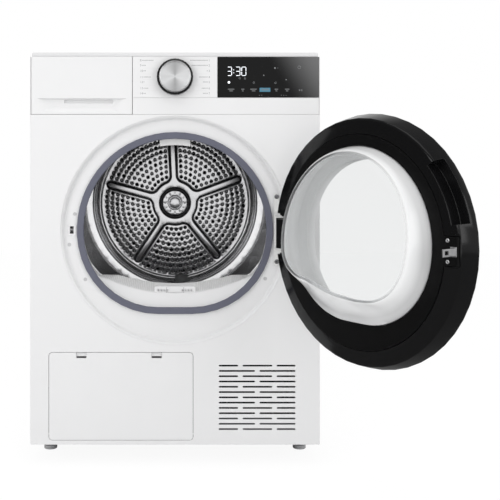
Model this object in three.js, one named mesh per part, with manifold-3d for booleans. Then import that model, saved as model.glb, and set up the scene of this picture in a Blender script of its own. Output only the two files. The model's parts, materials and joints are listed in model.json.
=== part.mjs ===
// Front-loading heat pump clothes dryer with its door standing open.
// Millimetres. X to the right, Y to the rear from the front panel, Z up from the floor,
// with X = 0 on the cabinet's middle plane. The whole dryer is centred on its own footprint at the end.

import * as THREE from 'three';
import { mergeVertices } from 'three/addons/utils/BufferGeometryUtils.js';
import Module from 'manifold-3d';

const wasm = await Module();
wasm.setup();

// ---------------------------------------------------------------- driving dimensions

const runningGap = 0.3;          // between pieces that touch
const cabinetWidth = 595;
const cabinetDepth = 600;
const cabinetHeight = 845;
const footHeight = 38;
const halfWidth = cabinetWidth / 2;
const sheet = 1.5;               // side and rear panels
const frontSheet = 2;
const rearRoom = 28;             // for the air duct behind the rear panel
const rearPanelY = cabinetDepth - rearRoom;

const coverHeight = 10;          // top cover above the fascia
const fasciaHeight = 118.6;
const fasciaDepth = 12;
const fasciaWall = 3.5;
const fasciaTop = cabinetHeight - coverHeight;
const fasciaBottom = fasciaTop - fasciaHeight;

const openingRadius = 188.5;
const cornerShift = 35;          // sideways shift of the opening's lower corner arcs
const cornerDrop = 6;
const dishBorder = 42.5;         // flat border of the door's round recess
const dishRadius = openingRadius + dishBorder;
const dishDepth = 12;
const dishEdge = 5;              // half of the pressed edge's width, seen from the front
const dishMargin = 7.4;          // recess below the fascia
const openingHeight = fasciaBottom - dishMargin - dishRadius;
const sealWidth = 14;
const sealHeight = 6;

const drumRise = 32;             // drum axis above the opening's centre
const drumSideRoom = 9;
const drumTopRoom = 36.5;
const drumHeight = openingHeight + drumRise;
const drumRadius = Math.min(halfWidth - drumSideRoom, fasciaTop - drumTopRoom - drumHeight);
const drumSheet = 1.5;
const drumFront = 72;
const drumTail = 38;             // drum's rear end in front of the rear panel
const drumRear = rearPanelY - drumTail;
const lifterCount = 3;
const lifterHeight = 42;
const lifterFoot = 32;           // half of a lifter's width at the shell

const perforatedRadius = drumRadius - 95.5;
const spokeCount = 5;
const spokeWidth = 13;
const spokeTurn = 2.5;           // degrees, first spoke off the vertical
const spokeRaise = 4;            // raised star in front of the perforated field
const starHub = 56;
const starFillet = 20;
const grooveWidth = 5;           // pressed round the star
const grooveDepth = 1;

const hingeX = dishRadius - 4.6;
const hingeY = -40;
const doorOpen = 124.8;          // degrees from shut to the standing pose
const doorRadius = dishRadius - 3.5;
const doorSeam = openingRadius + 2;   // inner frame's outer radius
const windowRadius = doorSeam - 40.5;
const glassRadius = doorSeam - 25.5;
const glassShift = 22;
const glassDrop = 4;
const glassRise = 4;             // bowl centre above the opening's centre
const glassWall = 4;
const bowlDepth = 68;
const hingeArmHeight = 34.5;     // hinge arms above and below the opening's centre
const hingeArmThickness = 8;
const hingePinRadius = 4;
const barrelRadius = 9;
const latchX = openingRadius + 23.8;  // hook and lock, left of the middle plane
const hookReach = 33;

const knobDrop = 42;             // knob's axis below the fascia's top
const knobHeight = fasciaTop - knobDrop;
const knobRadius = 37.5;
const knobCapRadius = knobRadius - 5;
const knobDepth = 20;

const drawerLeft = -halfWidth + 2.2;
const drawerRight = -88;
const drawerDepth = 14;
const tankLength = 420;

const displayLeft = 87;
const displayHeight = 84;
const displayBottom = fasciaTop - displayHeight;

const flapMargin = 20;           // flap below the door's recess
const flapTop = openingHeight - dishRadius - flapMargin;
const flapBottom = footHeight + 9.4;
const flapLeft = -halfWidth + 38.7;
const flapCorner = 7;
const flapGap = 0.8;
const flapPinY = 4;              // flap's hinge line behind the front face
const flapPinRise = 12;          // and above the flap's lower edge
const flapPinRadius = 1.5;

const grilleWidth = 158.4;
const grilleRight = halfWidth - 49.6;
const grilleLeft = grilleRight - grilleWidth;
const grilleTop = flapTop - 26.8;
const grilleBottom = footHeight + 31;
const grillePitch = 10.86;
const grilleRows = Math.floor((grilleTop - grilleBottom) / grillePitch) + 1;
const slotHeight = 3.5;
const slotBridge = 8.4;
const flapRight = grilleLeft - 52.7;

const footRadius = 14;
const footX = halfWidth - 28.5;
const footFront = 98.7;
const footRear = cabinetDepth - 80;

const rollerRadius = 25;
const rollerAngle = 34.9;        // from straight below the drum axis
const rollerFront = drumFront + 12;
const rollerWidth = 20;

const trayWall = 3;
const trayFloor = footHeight + 4;

const motorX = halfWidth - 92.5;
const motorHeight = trayFloor + 70;
const motorRadius = 52;
const motorLength = 100;
const motorBack = rearPanelY - 80;
const motorFront = motorBack - motorLength;
const motorShaft = 6;
const pulleyRadius = 12;
const beltWidth = 9;
const beltThickness = 2;
const beltFront = motorFront - 20;

const filterWidth = 318;
const filterFront = 28;
const filterDepth = 32;
const filterDrop = 134;          // middle of the filter's front edge below the opening's centre
const filterLength = 104;
const filterRise = 17.5;         // its rear edge above its front edge, in the middle
const frontBend = 332;           // radius in which each edge rises from its middle
const rearBend = 411;
const rearEnds = 17.5;           // rear edge's level ends above its middle
const gripWidth = 86;
const gripRise = 15;             // grip's top above the middle of the filter's front edge
const filterTop = openingHeight - filterDrop;
const filterBottom = filterTop - filterLength;

const fanX = (grilleLeft + grilleRight) / 2;
const fanHeight = (flapTop + footHeight) / 2 + 1.5;
const fanRadius = fanHeight - footHeight - 34;

// ---------------------------------------------------------------- colours

function finish(color, roughness, metalness = 0) {
  return new THREE.MeshStandardMaterial({ color, roughness, metalness });
}

const white = finish(0xf0f0f0, 0.35);
const whitePlastic = finish(0xe9e9e8, 0.45);
const gloss = finish(0x0c0c0d, 0.12);
const black = finish(0x151516, 0.4);
const slate = finish(0x666878, 0.7);
const steel = finish(0xb8babd, 0.25, 1);
const zinc = finish(0xa8abae, 0.4, 1);
const castGrey = finish(0xc9cac9, 0.5);
const rubber = finish(0x202022, 0.8);
const felt = finish(0x8c8c8a, 0.95);
const greyPlastic = finish(0x77797c, 0.55);
const boardGreen = finish(0x1f5a3a, 0.5);
const aluminium = finish(0xc4c6c8, 0.35, 1);
const copper = finish(0xb4693c, 0.35, 1);
const clear = finish(0xe6ebec, 0.05);

// ---------------------------------------------------------------- shape tools

// a closed body from any closed three.js geometry
function body(geometry) {
  const bare = geometry.clone();
  bare.deleteAttribute('normal');
  bare.deleteAttribute('uv');
  const merged = mergeVertices(bare, 1e-4);
  const corners = merged.index.array;
  const kept = [];
  for (let i = 0; i < corners.length; i += 3) {
    const [a, b, c] = [corners[i], corners[i + 1], corners[i + 2]];
    if (a !== b && b !== c && c !== a) kept.push(a, b, c);
  }
  const vertProperties = new Float32Array(merged.attributes.position.array);
  const made = (order) => new wasm.Manifold(
    new wasm.Mesh({ numProp: 3, vertProperties, triVerts: new Uint32Array(order) }));
  const solid = made(kept);
  return solid.volume() > 0 ? solid : made(kept.reverse());
}

function box(x0, x1, y0, y1, z0, z1) {
  const geometry = new THREE.BoxGeometry(x1 - x0, y1 - y0, z1 - z0);
  return body(geometry.translate((x0 + x1) / 2, (y0 + y1) / 2, (z0 + z1) / 2));
}

// a flat outline in X and Z, thickened from y0 to y1
function plate(shape, y0, y1, curveSegments = 12) {
  const geometry = new THREE.ExtrudeGeometry(shape, { depth: y1 - y0, bevelEnabled: false, curveSegments });
  return body(geometry.rotateX(Math.PI / 2).translate(0, y1, 0));
}

// an outline in Y and Z, thickened from x0 to x1
function rib(shape, x0, x1, curveSegments = 12) {
  const geometry = new THREE.ExtrudeGeometry(shape, { depth: x1 - x0, bevelEnabled: false, curveSegments });
  return body(geometry.rotateX(Math.PI / 2).rotateZ(Math.PI / 2).translate(x0, 0, 0));
}

// an outline in X and Y, thickened from z0 to z1
function slab(shape, z0, z1, curveSegments = 12) {
  const geometry = new THREE.ExtrudeGeometry(shape, { depth: z1 - z0, bevelEnabled: false, curveSegments });
  return body(geometry.translate(0, 0, z0));
}

// a profile of [radius, y] points turned about a line along Y through (x, z)
function turned(profile, x, z, segments = 48) {
  const points = profile.map(([radius, y]) => new THREE.Vector2(radius, y));
  return body(new THREE.LatheGeometry(points, segments).translate(x, 0, z));
}

// the same for a closed ring profile
function ring(profile, x, z, segments = 48) {
  return turned([...profile, profile[0]], x, z, segments);
}

function rodY(x, z, radius, y0, y1, sides = 12) {
  const geometry = new THREE.CylinderGeometry(radius, radius, y1 - y0, sides);
  return body(geometry.translate(x, (y0 + y1) / 2, z));
}

function rodZ(x, y, radius, z0, z1, sides = 12) {
  const geometry = new THREE.CylinderGeometry(radius, radius, z1 - z0, sides);
  return body(geometry.rotateX(Math.PI / 2).translate(x, y, (z0 + z1) / 2));
}

function rodX(y, z, radius, x0, x1, sides = 12) {
  const geometry = new THREE.CylinderGeometry(radius, radius, x1 - x0, sides);
  return body(geometry.rotateZ(Math.PI / 2).translate((x0 + x1) / 2, y, z));
}

function roundedBox(x0, x1, z0, z1, radius) {
  const shape = new THREE.Shape();
  shape.absarc(x1 - radius, z0 + radius, radius, -Math.PI / 2, 0);
  shape.absarc(x1 - radius, z1 - radius, radius, 0, Math.PI / 2);
  shape.absarc(x0 + radius, z1 - radius, radius, Math.PI / 2, Math.PI);
  shape.absarc(x0 + radius, z0 + radius, radius, Math.PI, Math.PI * 1.5);
  return shape;
}

function disc(x, z, radius) {
  const shape = new THREE.Shape();
  shape.absarc(x, z, radius, 0, Math.PI * 2);
  return shape;
}

function polygon(points) {
  return new THREE.Shape(points.map(([x, y]) => new THREE.Vector2(x, y)));
}

function arcPoints(x, z, radius, start, end, sides) {
  return Array.from({ length: sides + 1 }, (_, i) => {
    const angle = start + (end - start) * i / sides;
    return [x + radius * Math.cos(angle), z + radius * Math.sin(angle)];
  });
}

// a round outline with a flatter bottom: a main arc, two lower corner arcs and a straight base
function flatBottomed(radius, shift, drop, height) {
  const corner = radius - Math.hypot(shift, drop);
  const join = Math.atan2(-drop, shift);
  return [
    ...arcPoints(0, height, radius, join, Math.PI - join, 34),
    ...arcPoints(-shift, height - drop, corner, Math.PI - join, Math.PI * 1.5, 9).slice(1),
    ...arcPoints(shift, height - drop, corner, -Math.PI / 2, join, 9).slice(0, -1),
  ];
}

function openingPoints(offset) {
  return flatBottomed(openingRadius + offset, cornerShift, cornerDrop, openingHeight);
}

function opening(offset) {
  return polygon(openingPoints(offset));
}

// a solid through outlines that all have the same number of points
function loft(sections) {
  const count = sections[0].length;
  const positions = sections.flat().flatMap((p) => [p.x, p.y, p.z]);
  const index = [];
  for (let s = 0; s < sections.length - 1; s++) {
    for (let i = 0; i < count; i++) {
      const a = s * count + i;
      const b = s * count + (i + 1) % count;
      index.push(a, b, a + count, b, b + count, a + count);
    }
  }
  const last = (sections.length - 1) * count;
  for (let i = 1; i < count - 1; i++) {
    index.push(0, i + 1, i);
    index.push(last, last + i, last + i + 1);
  }
  const geometry = new THREE.BufferGeometry();
  geometry.setAttribute('position', new THREE.Float32BufferAttribute(positions, 3));
  geometry.setIndex(index);
  return body(geometry);
}

// a round tube along a list of points
function tube(points, radius, steps, sides = 8) {
  const path = new THREE.CatmullRomCurve3(points.map((p) => new THREE.Vector3(...p)), false, 'centripetal');
  const section = disc(0, 0, radius);
  const geometry = new THREE.ExtrudeGeometry(section, { steps, extrudePath: path, curveSegments: sides });
  return body(geometry);
}

function join(...solids) {
  return solids.reduce((whole, solid) => whole.add(solid));
}

function cut(solid, ...tools) {
  return tools.reduce((left, tool) => left.subtract(tool), solid);
}

const bigArc = 24;               // half the sides of a large circle
const drumSides = 40;

// ---------------------------------------------------------------- placing

const dryer = new THREE.Group();
const cabinet = new THREE.Group();
dryer.add(cabinet);

// the door's own group turns about the hinge pin
const door = new THREE.Group();
door.position.set(hingeX, hingeY, 0);
door.rotation.z = THREE.MathUtils.degToRad(doorOpen);
cabinet.add(door);

function piece(name, solid, material, group = cabinet) {
  const mesh = solid.getMesh();
  const geometry = new THREE.BufferGeometry();
  const positions = new Float32Array(mesh.vertProperties);
  geometry.setAttribute('position', new THREE.BufferAttribute(positions, 3));
  geometry.setIndex(new THREE.BufferAttribute(new Uint32Array(mesh.triVerts), 1));
  if (group === door) geometry.translate(-hingeX, -hingeY, 0);
  const made = new THREE.Mesh(geometry, material);
  made.name = name;
  group.add(made);
}

const panelTop = fasciaBottom - runningGap;
const dishFloor = dishDepth + frontSheet;

// ---------------------------------------------------------------- front panel

// every ventilation slot as [left, right, middle height]: rows of three and two, staggered
function grilleSlots() {
  const span = grilleRight - grilleLeft;
  const slots = [];
  for (let row = 0; row < grilleRows; row++) {
    const height = grilleTop - row * grillePitch;
    const bridges = row % 2 === 0 ? [0.283, 0.725] : [0.502];
    const gaps = bridges.flatMap((at) => [at * span - slotBridge / 2, at * span + slotBridge / 2]);
    const edges = [0, ...gaps, span];
    for (let i = 0; i < edges.length; i += 2) {
      slots.push([grilleLeft + edges[i], grilleLeft + edges[i + 1], height]);
    }
  }
  return slots;
}

// a slot with round ends
function slotOutline(left, right, height) {
  const radius = slotHeight / 2;
  const shape = new THREE.Path();
  shape.absarc(right - radius, height, radius, -Math.PI / 2, Math.PI / 2);
  shape.absarc(left + radius, height, radius, Math.PI / 2, Math.PI * 1.5);
  return shape;
}

function frontPanel() {
  const face = roundedBox(-halfWidth, halfWidth, footHeight, panelTop, 2);
  face.holes.push(roundedBox(flapLeft - flapGap, flapRight + flapGap, flapBottom - flapGap, flapTop + flapGap,
    flapCorner));
  for (const [left, right, height] of grilleSlots()) {
    face.holes.push(slotOutline(left, right, height));
  }
  const outer = dishRadius + dishEdge;
  const inner = dishRadius - dishEdge;
  const dishHole = plate(disc(0, openingHeight, outer - 0.5), -1, frontSheet + 1, bigArc);
  const skin = cut(plate(face, 0, frontSheet, 1), dishHole);
  const dish = ring([
    [outer, 0],
    [dishRadius + 1.6, dishDepth * 0.14],
    [dishRadius - 1.6, dishDepth * 0.86],
    [inner, dishDepth],
    [openingRadius - cornerShift, dishDepth],
    [openingRadius - cornerShift, dishFloor],
    [inner + 1, dishFloor],
    [dishRadius + 1.6, dishDepth * 0.86 + frontSheet],
    [dishRadius + 3.6, frontSheet],
    [outer, frontSheet],
  ], 0, openingHeight, bigArc * 2);
  const loading = plate(opening(1.5), -1, dishFloor + 1);
  const lockHole = box(-latchX - 7.6, -latchX + 6.6, -1, dishFloor + 1, openingHeight - 11.1,
    openingHeight + 11.1);
  return cut(join(skin, dish, ...flapBearings()), loading, lockHole);
}

// bored lugs behind the panel, just outside the flap's lower corners
function flapBearings() {
  const height = flapBottom + flapPinRise;
  const reach = flapPinRadius + 3;
  return [flapLeft - 8, flapRight + 2].map((x) => cut(
    box(x, x + 6, frontSheet - 0.5, flapPinY + reach, height - reach, height + reach),
    rodX(flapPinY, height, flapPinRadius + runningGap, x - 1, x + 7, 12)));
}

piece('front_panel', frontPanel(), white);

// ---------------------------------------------------------------- cabinet shell

function sidePanel(side) {
  const outer = side * halfWidth;
  const inner = side * (halfWidth - sheet);
  const lip = side * (halfWidth - 14);
  const x = (a, b) => [Math.min(a, b), Math.max(a, b)];
  const wall = box(...x(outer, inner), frontSheet + runningGap, cabinetDepth - 2, footHeight, fasciaTop);
  const top = box(...x(outer, lip), 40, cabinetDepth - 30, fasciaTop - sheet, fasciaTop);
  const rear = box(...x(outer, lip), cabinetDepth - 2 - sheet, cabinetDepth - 2, footHeight + 30, fasciaTop);
  return join(wall, top, rear);
}

piece('side_panel_left', sidePanel(-1), white);
piece('side_panel_right', sidePanel(1), white);

const innerHalf = halfWidth - sheet - runningGap;
const bearingRadius = 17;
const airInner = 95;             // the rear panel's air openings start outside the bearing
const blowerMouth = 42;

function rearPanel() {
  const shape = roundedBox(-innerHalf, innerHalf, footHeight, fasciaTop - sheet - 1, 2);
  shape.holes.push(disc(0, drumHeight, bearingRadius));
  const openings = 5;
  for (let i = 0; i < openings; i++) {
    const start = (i + 0.12) * Math.PI * 2 / openings;
    const end = (i + 0.88) * Math.PI * 2 / openings;
    const slot = new THREE.Path();
    slot.absarc(0, drumHeight, perforatedRadius, start, end, false);
    slot.absarc(0, drumHeight, airInner, end, start, true);
    shape.holes.push(slot);
  }
  shape.holes.push(disc(motorX, motorHeight, blowerMouth));
  return plate(shape, rearPanelY, rearPanelY + sheet, 3);
}

piece('rear_panel', rearPanel(), white);

// the pressed cover that leads warm air from the blower up to the drum's back
const ductRadius = perforatedRadius + 33;
const ductFoot = 56;

function ductSolid(inset, front, back) {
  const round = plate(disc(0, drumHeight, ductRadius - inset), front, back, 16);
  const half = ductFoot - inset;
  const neck = plate(polygon([
    [motorX - half, motorHeight - half],
    [motorX + half, motorHeight - half],
    [motorX + half, motorHeight + half],
    [ductRadius * 0.9 - inset, drumHeight - 60],
    [-20, drumHeight - ductRadius + 20 + inset],
  ]), front, back);
  return join(round, neck);
}

function rearDuct() {
  const front = rearPanelY + sheet + runningGap;
  return cut(ductSolid(0, front, cabinetDepth), ductSolid(3, front - 1, cabinetDepth - 2));
}

piece('rear_air_duct', rearDuct(), zinc);

function topCover() {
  const profile = polygon([
    [14, fasciaTop + runningGap],
    [cabinetDepth - 4, fasciaTop + runningGap],
    [cabinetDepth - 2, fasciaTop + 2],
    [cabinetDepth - 2, cabinetHeight - 2],
    [cabinetDepth - 4, cabinetHeight],
    [16, cabinetHeight],
    [12, cabinetHeight - 1.5],
    [11, cabinetHeight - 4],
    [11, fasciaTop + 2],
  ]);
  return rib(profile, -halfWidth + 2, halfWidth - 2);
}

piece('top_cover', topCover(), white);

function baseTray() {
  const top = 92;
  const front = dishFloor + 6;
  const back = rearPanelY - runningGap;
  const outer = box(-innerHalf, innerHalf, front, back, footHeight, top);
  const inside = box(-innerHalf + trayWall, innerHalf - trayWall, front + trayWall, back - trayWall,
    trayFloor, top + 1);
  const ribs = [-60, 60].map((x) => box(x - 1.5, x + 1.5, 340, back, footHeight, 60));
  return join(cut(outer, inside), ...ribs);
}

piece('base_tray', baseTray(), greyPlastic);

for (const [name, side, y] of [['front_left', -1, footFront], ['front_right', 1, footFront],
  ['rear_left', -1, footRear], ['rear_right', 1, footRear]]) {
  const x = side * footX;
  const stem = rodZ(x, y, 5, 7, footHeight - runningGap, 6);
  const pad = rodZ(x, y, footRadius, 0, 8, 14);
  const nut = rodZ(x, y, 9, 24, 30, 6);
  piece(`foot_${name}`, join(stem, pad, nut), greyPlastic);
}

// ---------------------------------------------------------------- control fascia

const fasciaLeft = drawerRight + 1;
const fasciaRight = halfWidth - 1.5;
const displayRight = fasciaRight;
const displayRecess = 2.2;

function fascia() {
  const outer = plate(roundedBox(fasciaLeft, fasciaRight, fasciaBottom, fasciaTop, 1.5), 0, fasciaDepth, 3);
  const hollow = box(fasciaLeft + 3, fasciaRight - 3, fasciaWall, fasciaDepth + 1, fasciaBottom + 3,
    fasciaTop - 3);
  const seat = box(displayLeft, fasciaRight + 1, -1, displayRecess, displayBottom, fasciaTop + 1);
  const shaft = rodY(0, knobHeight, 6, -1, fasciaDepth + 1);
  const line = box(fasciaLeft - 1, fasciaRight + 1, -1, 0.5, displayBottom - 0.6, displayBottom);
  return cut(outer, hollow, seat, shaft, line);
}

piece('control_fascia', fascia(), white);

function displayWindow() {
  const shape = roundedBox(displayLeft + runningGap, displayRight, displayBottom + runningGap,
    fasciaTop - runningGap, 1.5);
  return plate(shape, 0, displayRecess - runningGap, 3);
}

piece('display_window', displayWindow(), gloss);

function controlBoard() {
  const board = box(displayLeft + 8, fasciaRight - 12, 16, 17.6, fasciaBottom + 14, fasciaTop - 10);
  const display = box(displayLeft + 14, displayLeft + 92, fasciaWall + runningGap, 16, displayBottom + 26,
    displayBottom + 64);
  const relayLeft = displayLeft + 33;
  const relays = [0, 1, 2].map((i) => box(relayLeft + i * 46, relayLeft + i * 46 + 30, 17.6, 36,
    displayBottom - 13, displayBottom + 11));
  return join(board, display, ...relays);
}

piece('control_board', controlBoard(), boardGreen);

const encoderFront = fasciaWall + runningGap;
const knobShaft = 3;

function selectorEncoder() {
  const housing = box(-11, 11, encoderFront, encoderFront + 12, knobHeight - 11, knobHeight + 11);
  const carrier = plate(roundedBox(-38, 38, knobHeight - 50, knobHeight + 28, 4), encoderFront + 12,
    encoderFront + 14, 3);
  const bore = rodY(0, knobHeight, knobShaft + runningGap, encoderFront - 1, encoderFront + 10);
  return cut(join(housing, carrier), bore);
}

piece('selector_encoder', selectorEncoder(), greyPlastic);

// the selector: a black skirt with a turned metal cap on it
const skirtTop = -knobDepth + 4;

function knobSkirt() {
  const profile = [
    [0, skirtTop], [knobCapRadius + 1, skirtTop], [knobRadius - 0.5, skirtTop + 3], [knobRadius, -1.5],
    [knobRadius - 1, -runningGap], [knobShaft, -runningGap],
    [knobShaft, encoderFront + 9], [0, encoderFront + 9],
  ];
  return turned(profile, 0, knobHeight, 28);
}

function knobCap() {
  const profile = [
    [0, -knobDepth + 0.8], [knobCapRadius - 4, -knobDepth + 0.8], [knobCapRadius - 2.5, -knobDepth],
    [knobCapRadius - 0.8, -knobDepth + 0.4], [knobCapRadius, -knobDepth + 1.6],
    [knobCapRadius, skirtTop - runningGap], [0, skirtTop - runningGap],
  ];
  return turned(profile, 0, knobHeight, 28);
}

piece('selector_knob', knobSkirt(), gloss);
piece('knob_cap', knobCap(), aluminium);

// ---------------------------------------------------------------- water drawer

const tankClear = 11;            // tank's underside outside the drum
const tankTop = fasciaTop - 11;
const tankWall = 2.5;
const shelfWall = 2;
const shelfGap = 0.8;

// flat top and left side, with an underside that follows the drum
function tankOutline(offset) {
  const radius = drumRadius + tankClear - offset;
  const left = drawerLeft + 10 - offset;
  const right = drawerRight - 8 + offset;
  const bottom = fasciaBottom + 12 - offset;
  const lowAngle = Math.PI - Math.asin((bottom - drumHeight) / radius);
  const shape = new THREE.Shape();
  shape.moveTo(left, tankTop + offset);
  shape.lineTo(left, bottom);
  shape.absarc(0, drumHeight, radius, lowAngle, Math.acos(right / radius), true);
  shape.lineTo(right, tankTop + offset);
  return shape;
}

const tankFront = drawerDepth + runningGap;
const tankBack = tankFront + tankLength;

const scoopDepth = 6.5;
const scoopWall = 2;
const pullWidth = 100;
const pullHeight = 7.2;

// the scoop's outline at a depth behind the face: it narrows evenly, less at the top
function scoopSection(y, grow) {
  const inset = Math.max(y, 0) * 2.4 - grow;
  const left = drawerLeft + 11 + inset;
  const right = drawerRight - 11 - inset;
  const low = fasciaBottom + 6 + inset * 0.6;
  const high = displayBottom - 1.5 - inset * 0.1;
  return [[left, high], [left + 16, low], [right - 16, low], [right, high]].map(
    ([x, z]) => new THREE.Vector3(x, y, z));
}

// the front: a hollow moulding with a sloped scoop and a deep finger pull at the scoop's upper edge
function drawerFront() {
  const shape = roundedBox(drawerLeft, drawerRight, fasciaBottom + runningGap, fasciaTop, 1.5);
  const front = plate(shape, 0, drawerDepth, 3);
  const hollow = box(drawerLeft + 3, drawerRight - 3, fasciaWall, drawerDepth + 1, fasciaBottom + 3,
    fasciaTop - 3);
  const well = loft([scoopSection(-1, 0), scoopSection(0, 0), scoopSection(scoopDepth, 0)]);
  const wellWall = loft([scoopSection(1, scoopWall), scoopSection(scoopDepth + scoopWall, scoopWall)]);
  const middle = (drawerLeft + drawerRight) / 2 + 13.6;
  const pullTop = displayBottom - 4.2;
  const pull = (grow, y0, y1) => box(middle - pullWidth / 2 - grow, middle + pullWidth / 2 + grow, y0, y1,
    pullTop - pullHeight - grow, pullTop + grow);
  const walls = join(cut(front, hollow), wellWall, pull(1.6, 3, drawerDepth - 0.5));
  return cut(walls, well, pull(0, -1, drawerDepth - 2));
}

function waterTank() {
  const outer = plate(tankOutline(0), tankFront, tankBack, 8);
  const inner = plate(tankOutline(-tankWall), tankFront + tankWall, tankBack - tankWall, 8);
  const holeX = drawerLeft + 45;
  const spout = rodZ(holeX, tankFront + 46, 14, tankTop - 5, tankTop + 1);
  const inlet = rodZ(holeX, tankBack - 36, 9, tankTop - 5, tankTop + 1);
  return cut(outer, inner, spout, inlet);
}

piece('drawer_front', drawerFront(), white);
piece('water_tank', waterTank(), whitePlastic);

// open tray under and beside the tank, carrying it on its way out
function tankShelf() {
  const back = tankBack + 24;
  const outer = plate(tankOutline(shelfWall + shelfGap), 20, back, 8);
  const inner = plate(tankOutline(shelfGap), 19, back - 3, 8);
  const lid = box(drawerLeft + 20, drawerRight - 20, 19, tankBack - 56, tankTop - 4, tankTop + 8);
  const rail = box(-innerHalf, drawerLeft + 9, 60, tankBack, tankTop - 54, tankTop - 51);
  return join(cut(outer, inner, lid), rail);
}

piece('tank_shelf', tankShelf(), greyPlastic);

// ---------------------------------------------------------------- seal, shield and lamp

function doorSeal() {
  const base = dishDepth - runningGap;
  const outer = plate(opening(sealWidth), base - sealHeight, base);
  const inner = plate(opening(0), base - sealHeight - 1, base + 1);
  return cut(outer, inner);
}

piece('door_seal', doorSeal(), slate);

const shieldFront = dishFloor + runningGap;
const shieldBack = 62;
const shieldWall = 3;
const wayMargin = 6;             // the way through the shield outside the opening
const lampDrop = 12.5;           // lamp cover's lower face inside the opening
const shieldRadius = drumRadius + 4;
const ductTop = filterTop + 28;

// heights of the filter's upper face at its front and rear edge
function frontEdge(x) {
  return filterTop + x ** 2 / (2 * frontBend);
}

function rearEdge(x) {
  return filterTop + filterRise + Math.min(x ** 2 / (2 * rearBend), rearEnds);
}

const rollerOrbit = drumRadius + runningGap + rollerRadius;
const rollerX = rollerOrbit * Math.sin(THREE.MathUtils.degToRad(rollerAngle));
const rollerZ = drumHeight - rollerOrbit * Math.cos(THREE.MathUtils.degToRad(rollerAngle));
const axleRadius = 5;

// shouldered pin on the shield's back for a support roller
function rollerAxle(side) {
  return join(rodY(side * rollerX, rollerZ, axleRadius, shieldBack + 1, rollerFront + rollerWidth + 6),
    rodY(side * rollerX, rollerZ, 11, shieldBack + 1, rollerFront - 2 - runningGap));
}

// the way through the shield: its floor slopes up from the seal to the filter's front edge
function loadingWay() {
  const outline = openingPoints(wayMargin);
  const above = outline.map(([x, z]) => [x, Math.max(z, frontEdge(x) - runningGap)]);
  const at = (points, y) => points.map(([x, z]) => new THREE.Vector3(x, y, z));
  const front = loft([
    at(outline, shieldFront - 1),
    at(outline, shieldFront + 1),
    at(above, filterFront - 0.7),
  ]);
  return join(front, plate(polygon(above), filterFront - 0.8, shieldBack + shieldWall + 1));
}

function frontShield() {
  const back = plate(disc(0, drumHeight, shieldRadius), shieldBack, shieldBack + shieldWall, bigArc);
  const apron = box(-innerHalf + 4, innerHalf - 4, shieldBack, shieldBack + shieldWall, filterBottom - 8,
    drumHeight);
  const collar = plate(opening(wayMargin + shieldWall), shieldFront, shieldBack + 1);
  const duct = box(-filterWidth / 2 - 10, filterWidth / 2 + 10, shieldFront + 4, shieldBack + 1,
    filterBottom - 8, ductTop);
  const slot = box(-filterWidth / 2 - 0.6, filterWidth / 2 + 0.6, filterFront - 0.6,
    filterFront + filterDepth + 0.6, filterBottom - 0.6, ductTop + 60);
  const outlet = box(-filterWidth / 2 + 12, filterWidth / 2 - 12, filterFront + 4,
    filterFront + filterDepth - 4, filterBottom - 20, filterBottom);
  const body = cut(join(back, apron, collar, duct), loadingWay(), slot, outlet);
  return join(body, rollerAxle(-1), rollerAxle(1));
}

piece('front_shield', frontShield(), whitePlastic);

function drumFelt() {
  const outer = drumRadius - 4;
  const back = drumFront;
  return ring([
    [outer, shieldBack + shieldWall + runningGap], [outer, back], [outer - 14, back],
    [outer - 14, shieldBack + shieldWall + runningGap],
  ], 0, drumHeight, drumSides);
}

piece('drum_felt', drumFelt(), felt);

function lampCover() {
  const outer = openingRadius + wayMargin - runningGap;
  const inner = openingRadius - lampDrop;
  const bow = ring([[outer, 24], [outer, 56], [inner, 50], [inner, 24]], 0, openingHeight, 68);
  return bow.intersect(box(-32, 32, 0, 80, openingHeight, openingHeight + outer + 1));
}

piece('lamp_cover', lampCover(), clear);

// ---------------------------------------------------------------- lint filter

const filterBack = filterFront + filterDepth;

// a block under the filter's bowed upper face, its ends, front, rear and top set in by a wall
function filterBlock(wall, bottom) {
  const half = filterWidth / 2 - wall;
  const steps = 16;
  const sections = [];
  for (let i = 0; i <= steps; i++) {
    const x = half * (2 * i / steps - 1);
    sections.push([
      new THREE.Vector3(x, filterFront + wall, bottom),
      new THREE.Vector3(x, filterBack - wall, bottom),
      new THREE.Vector3(x, filterBack - wall, rearEdge(x) - wall * 1.3),
      new THREE.Vector3(x, filterFront + wall, frontEdge(x) - wall * 1.3),
    ]);
  }
  return loft(sections);
}

// an open-bottomed pouch with a finger pocket in its top and a slotted grip in front of the pocket
function filterBody() {
  const outside = filterBlock(0, filterBottom);
  const pouch = filterBlock(3, filterBottom - 1);
  const half = gripWidth / 2;
  const floor = filterTop - 6;
  const pocketWall = outside.intersect(box(-half + 3, half - 3, filterFront + 3, filterBack - 8, floor - 2,
    filterTop + 40));
  const pocket = box(-half + 5, half - 5, filterFront + 5.5, filterBack - 10, floor, filterTop + 40);
  const grip = plate(roundedBox(-half, half, floor + 2, filterTop + gripRise, 4), filterFront + 2,
    filterFront + 5, 3);
  const slots = [-1, 1].flatMap((side) => [0, 1, 2, 3].map((i) => {
    const x = side * (half - 8.5 - i * 6.2);
    return box(x - 1.7, x + 1.7, filterFront + 1, filterFront + 6, filterTop + 4, filterTop + 9);
  }));
  return cut(join(cut(outside, pouch), pocketWall, grip), pocket, ...slots);
}

piece('lint_filter', filterBody(), whitePlastic);

// ---------------------------------------------------------------- drum

const beadPlaces = [drumFront + 128, drumRear - 94];

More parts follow.
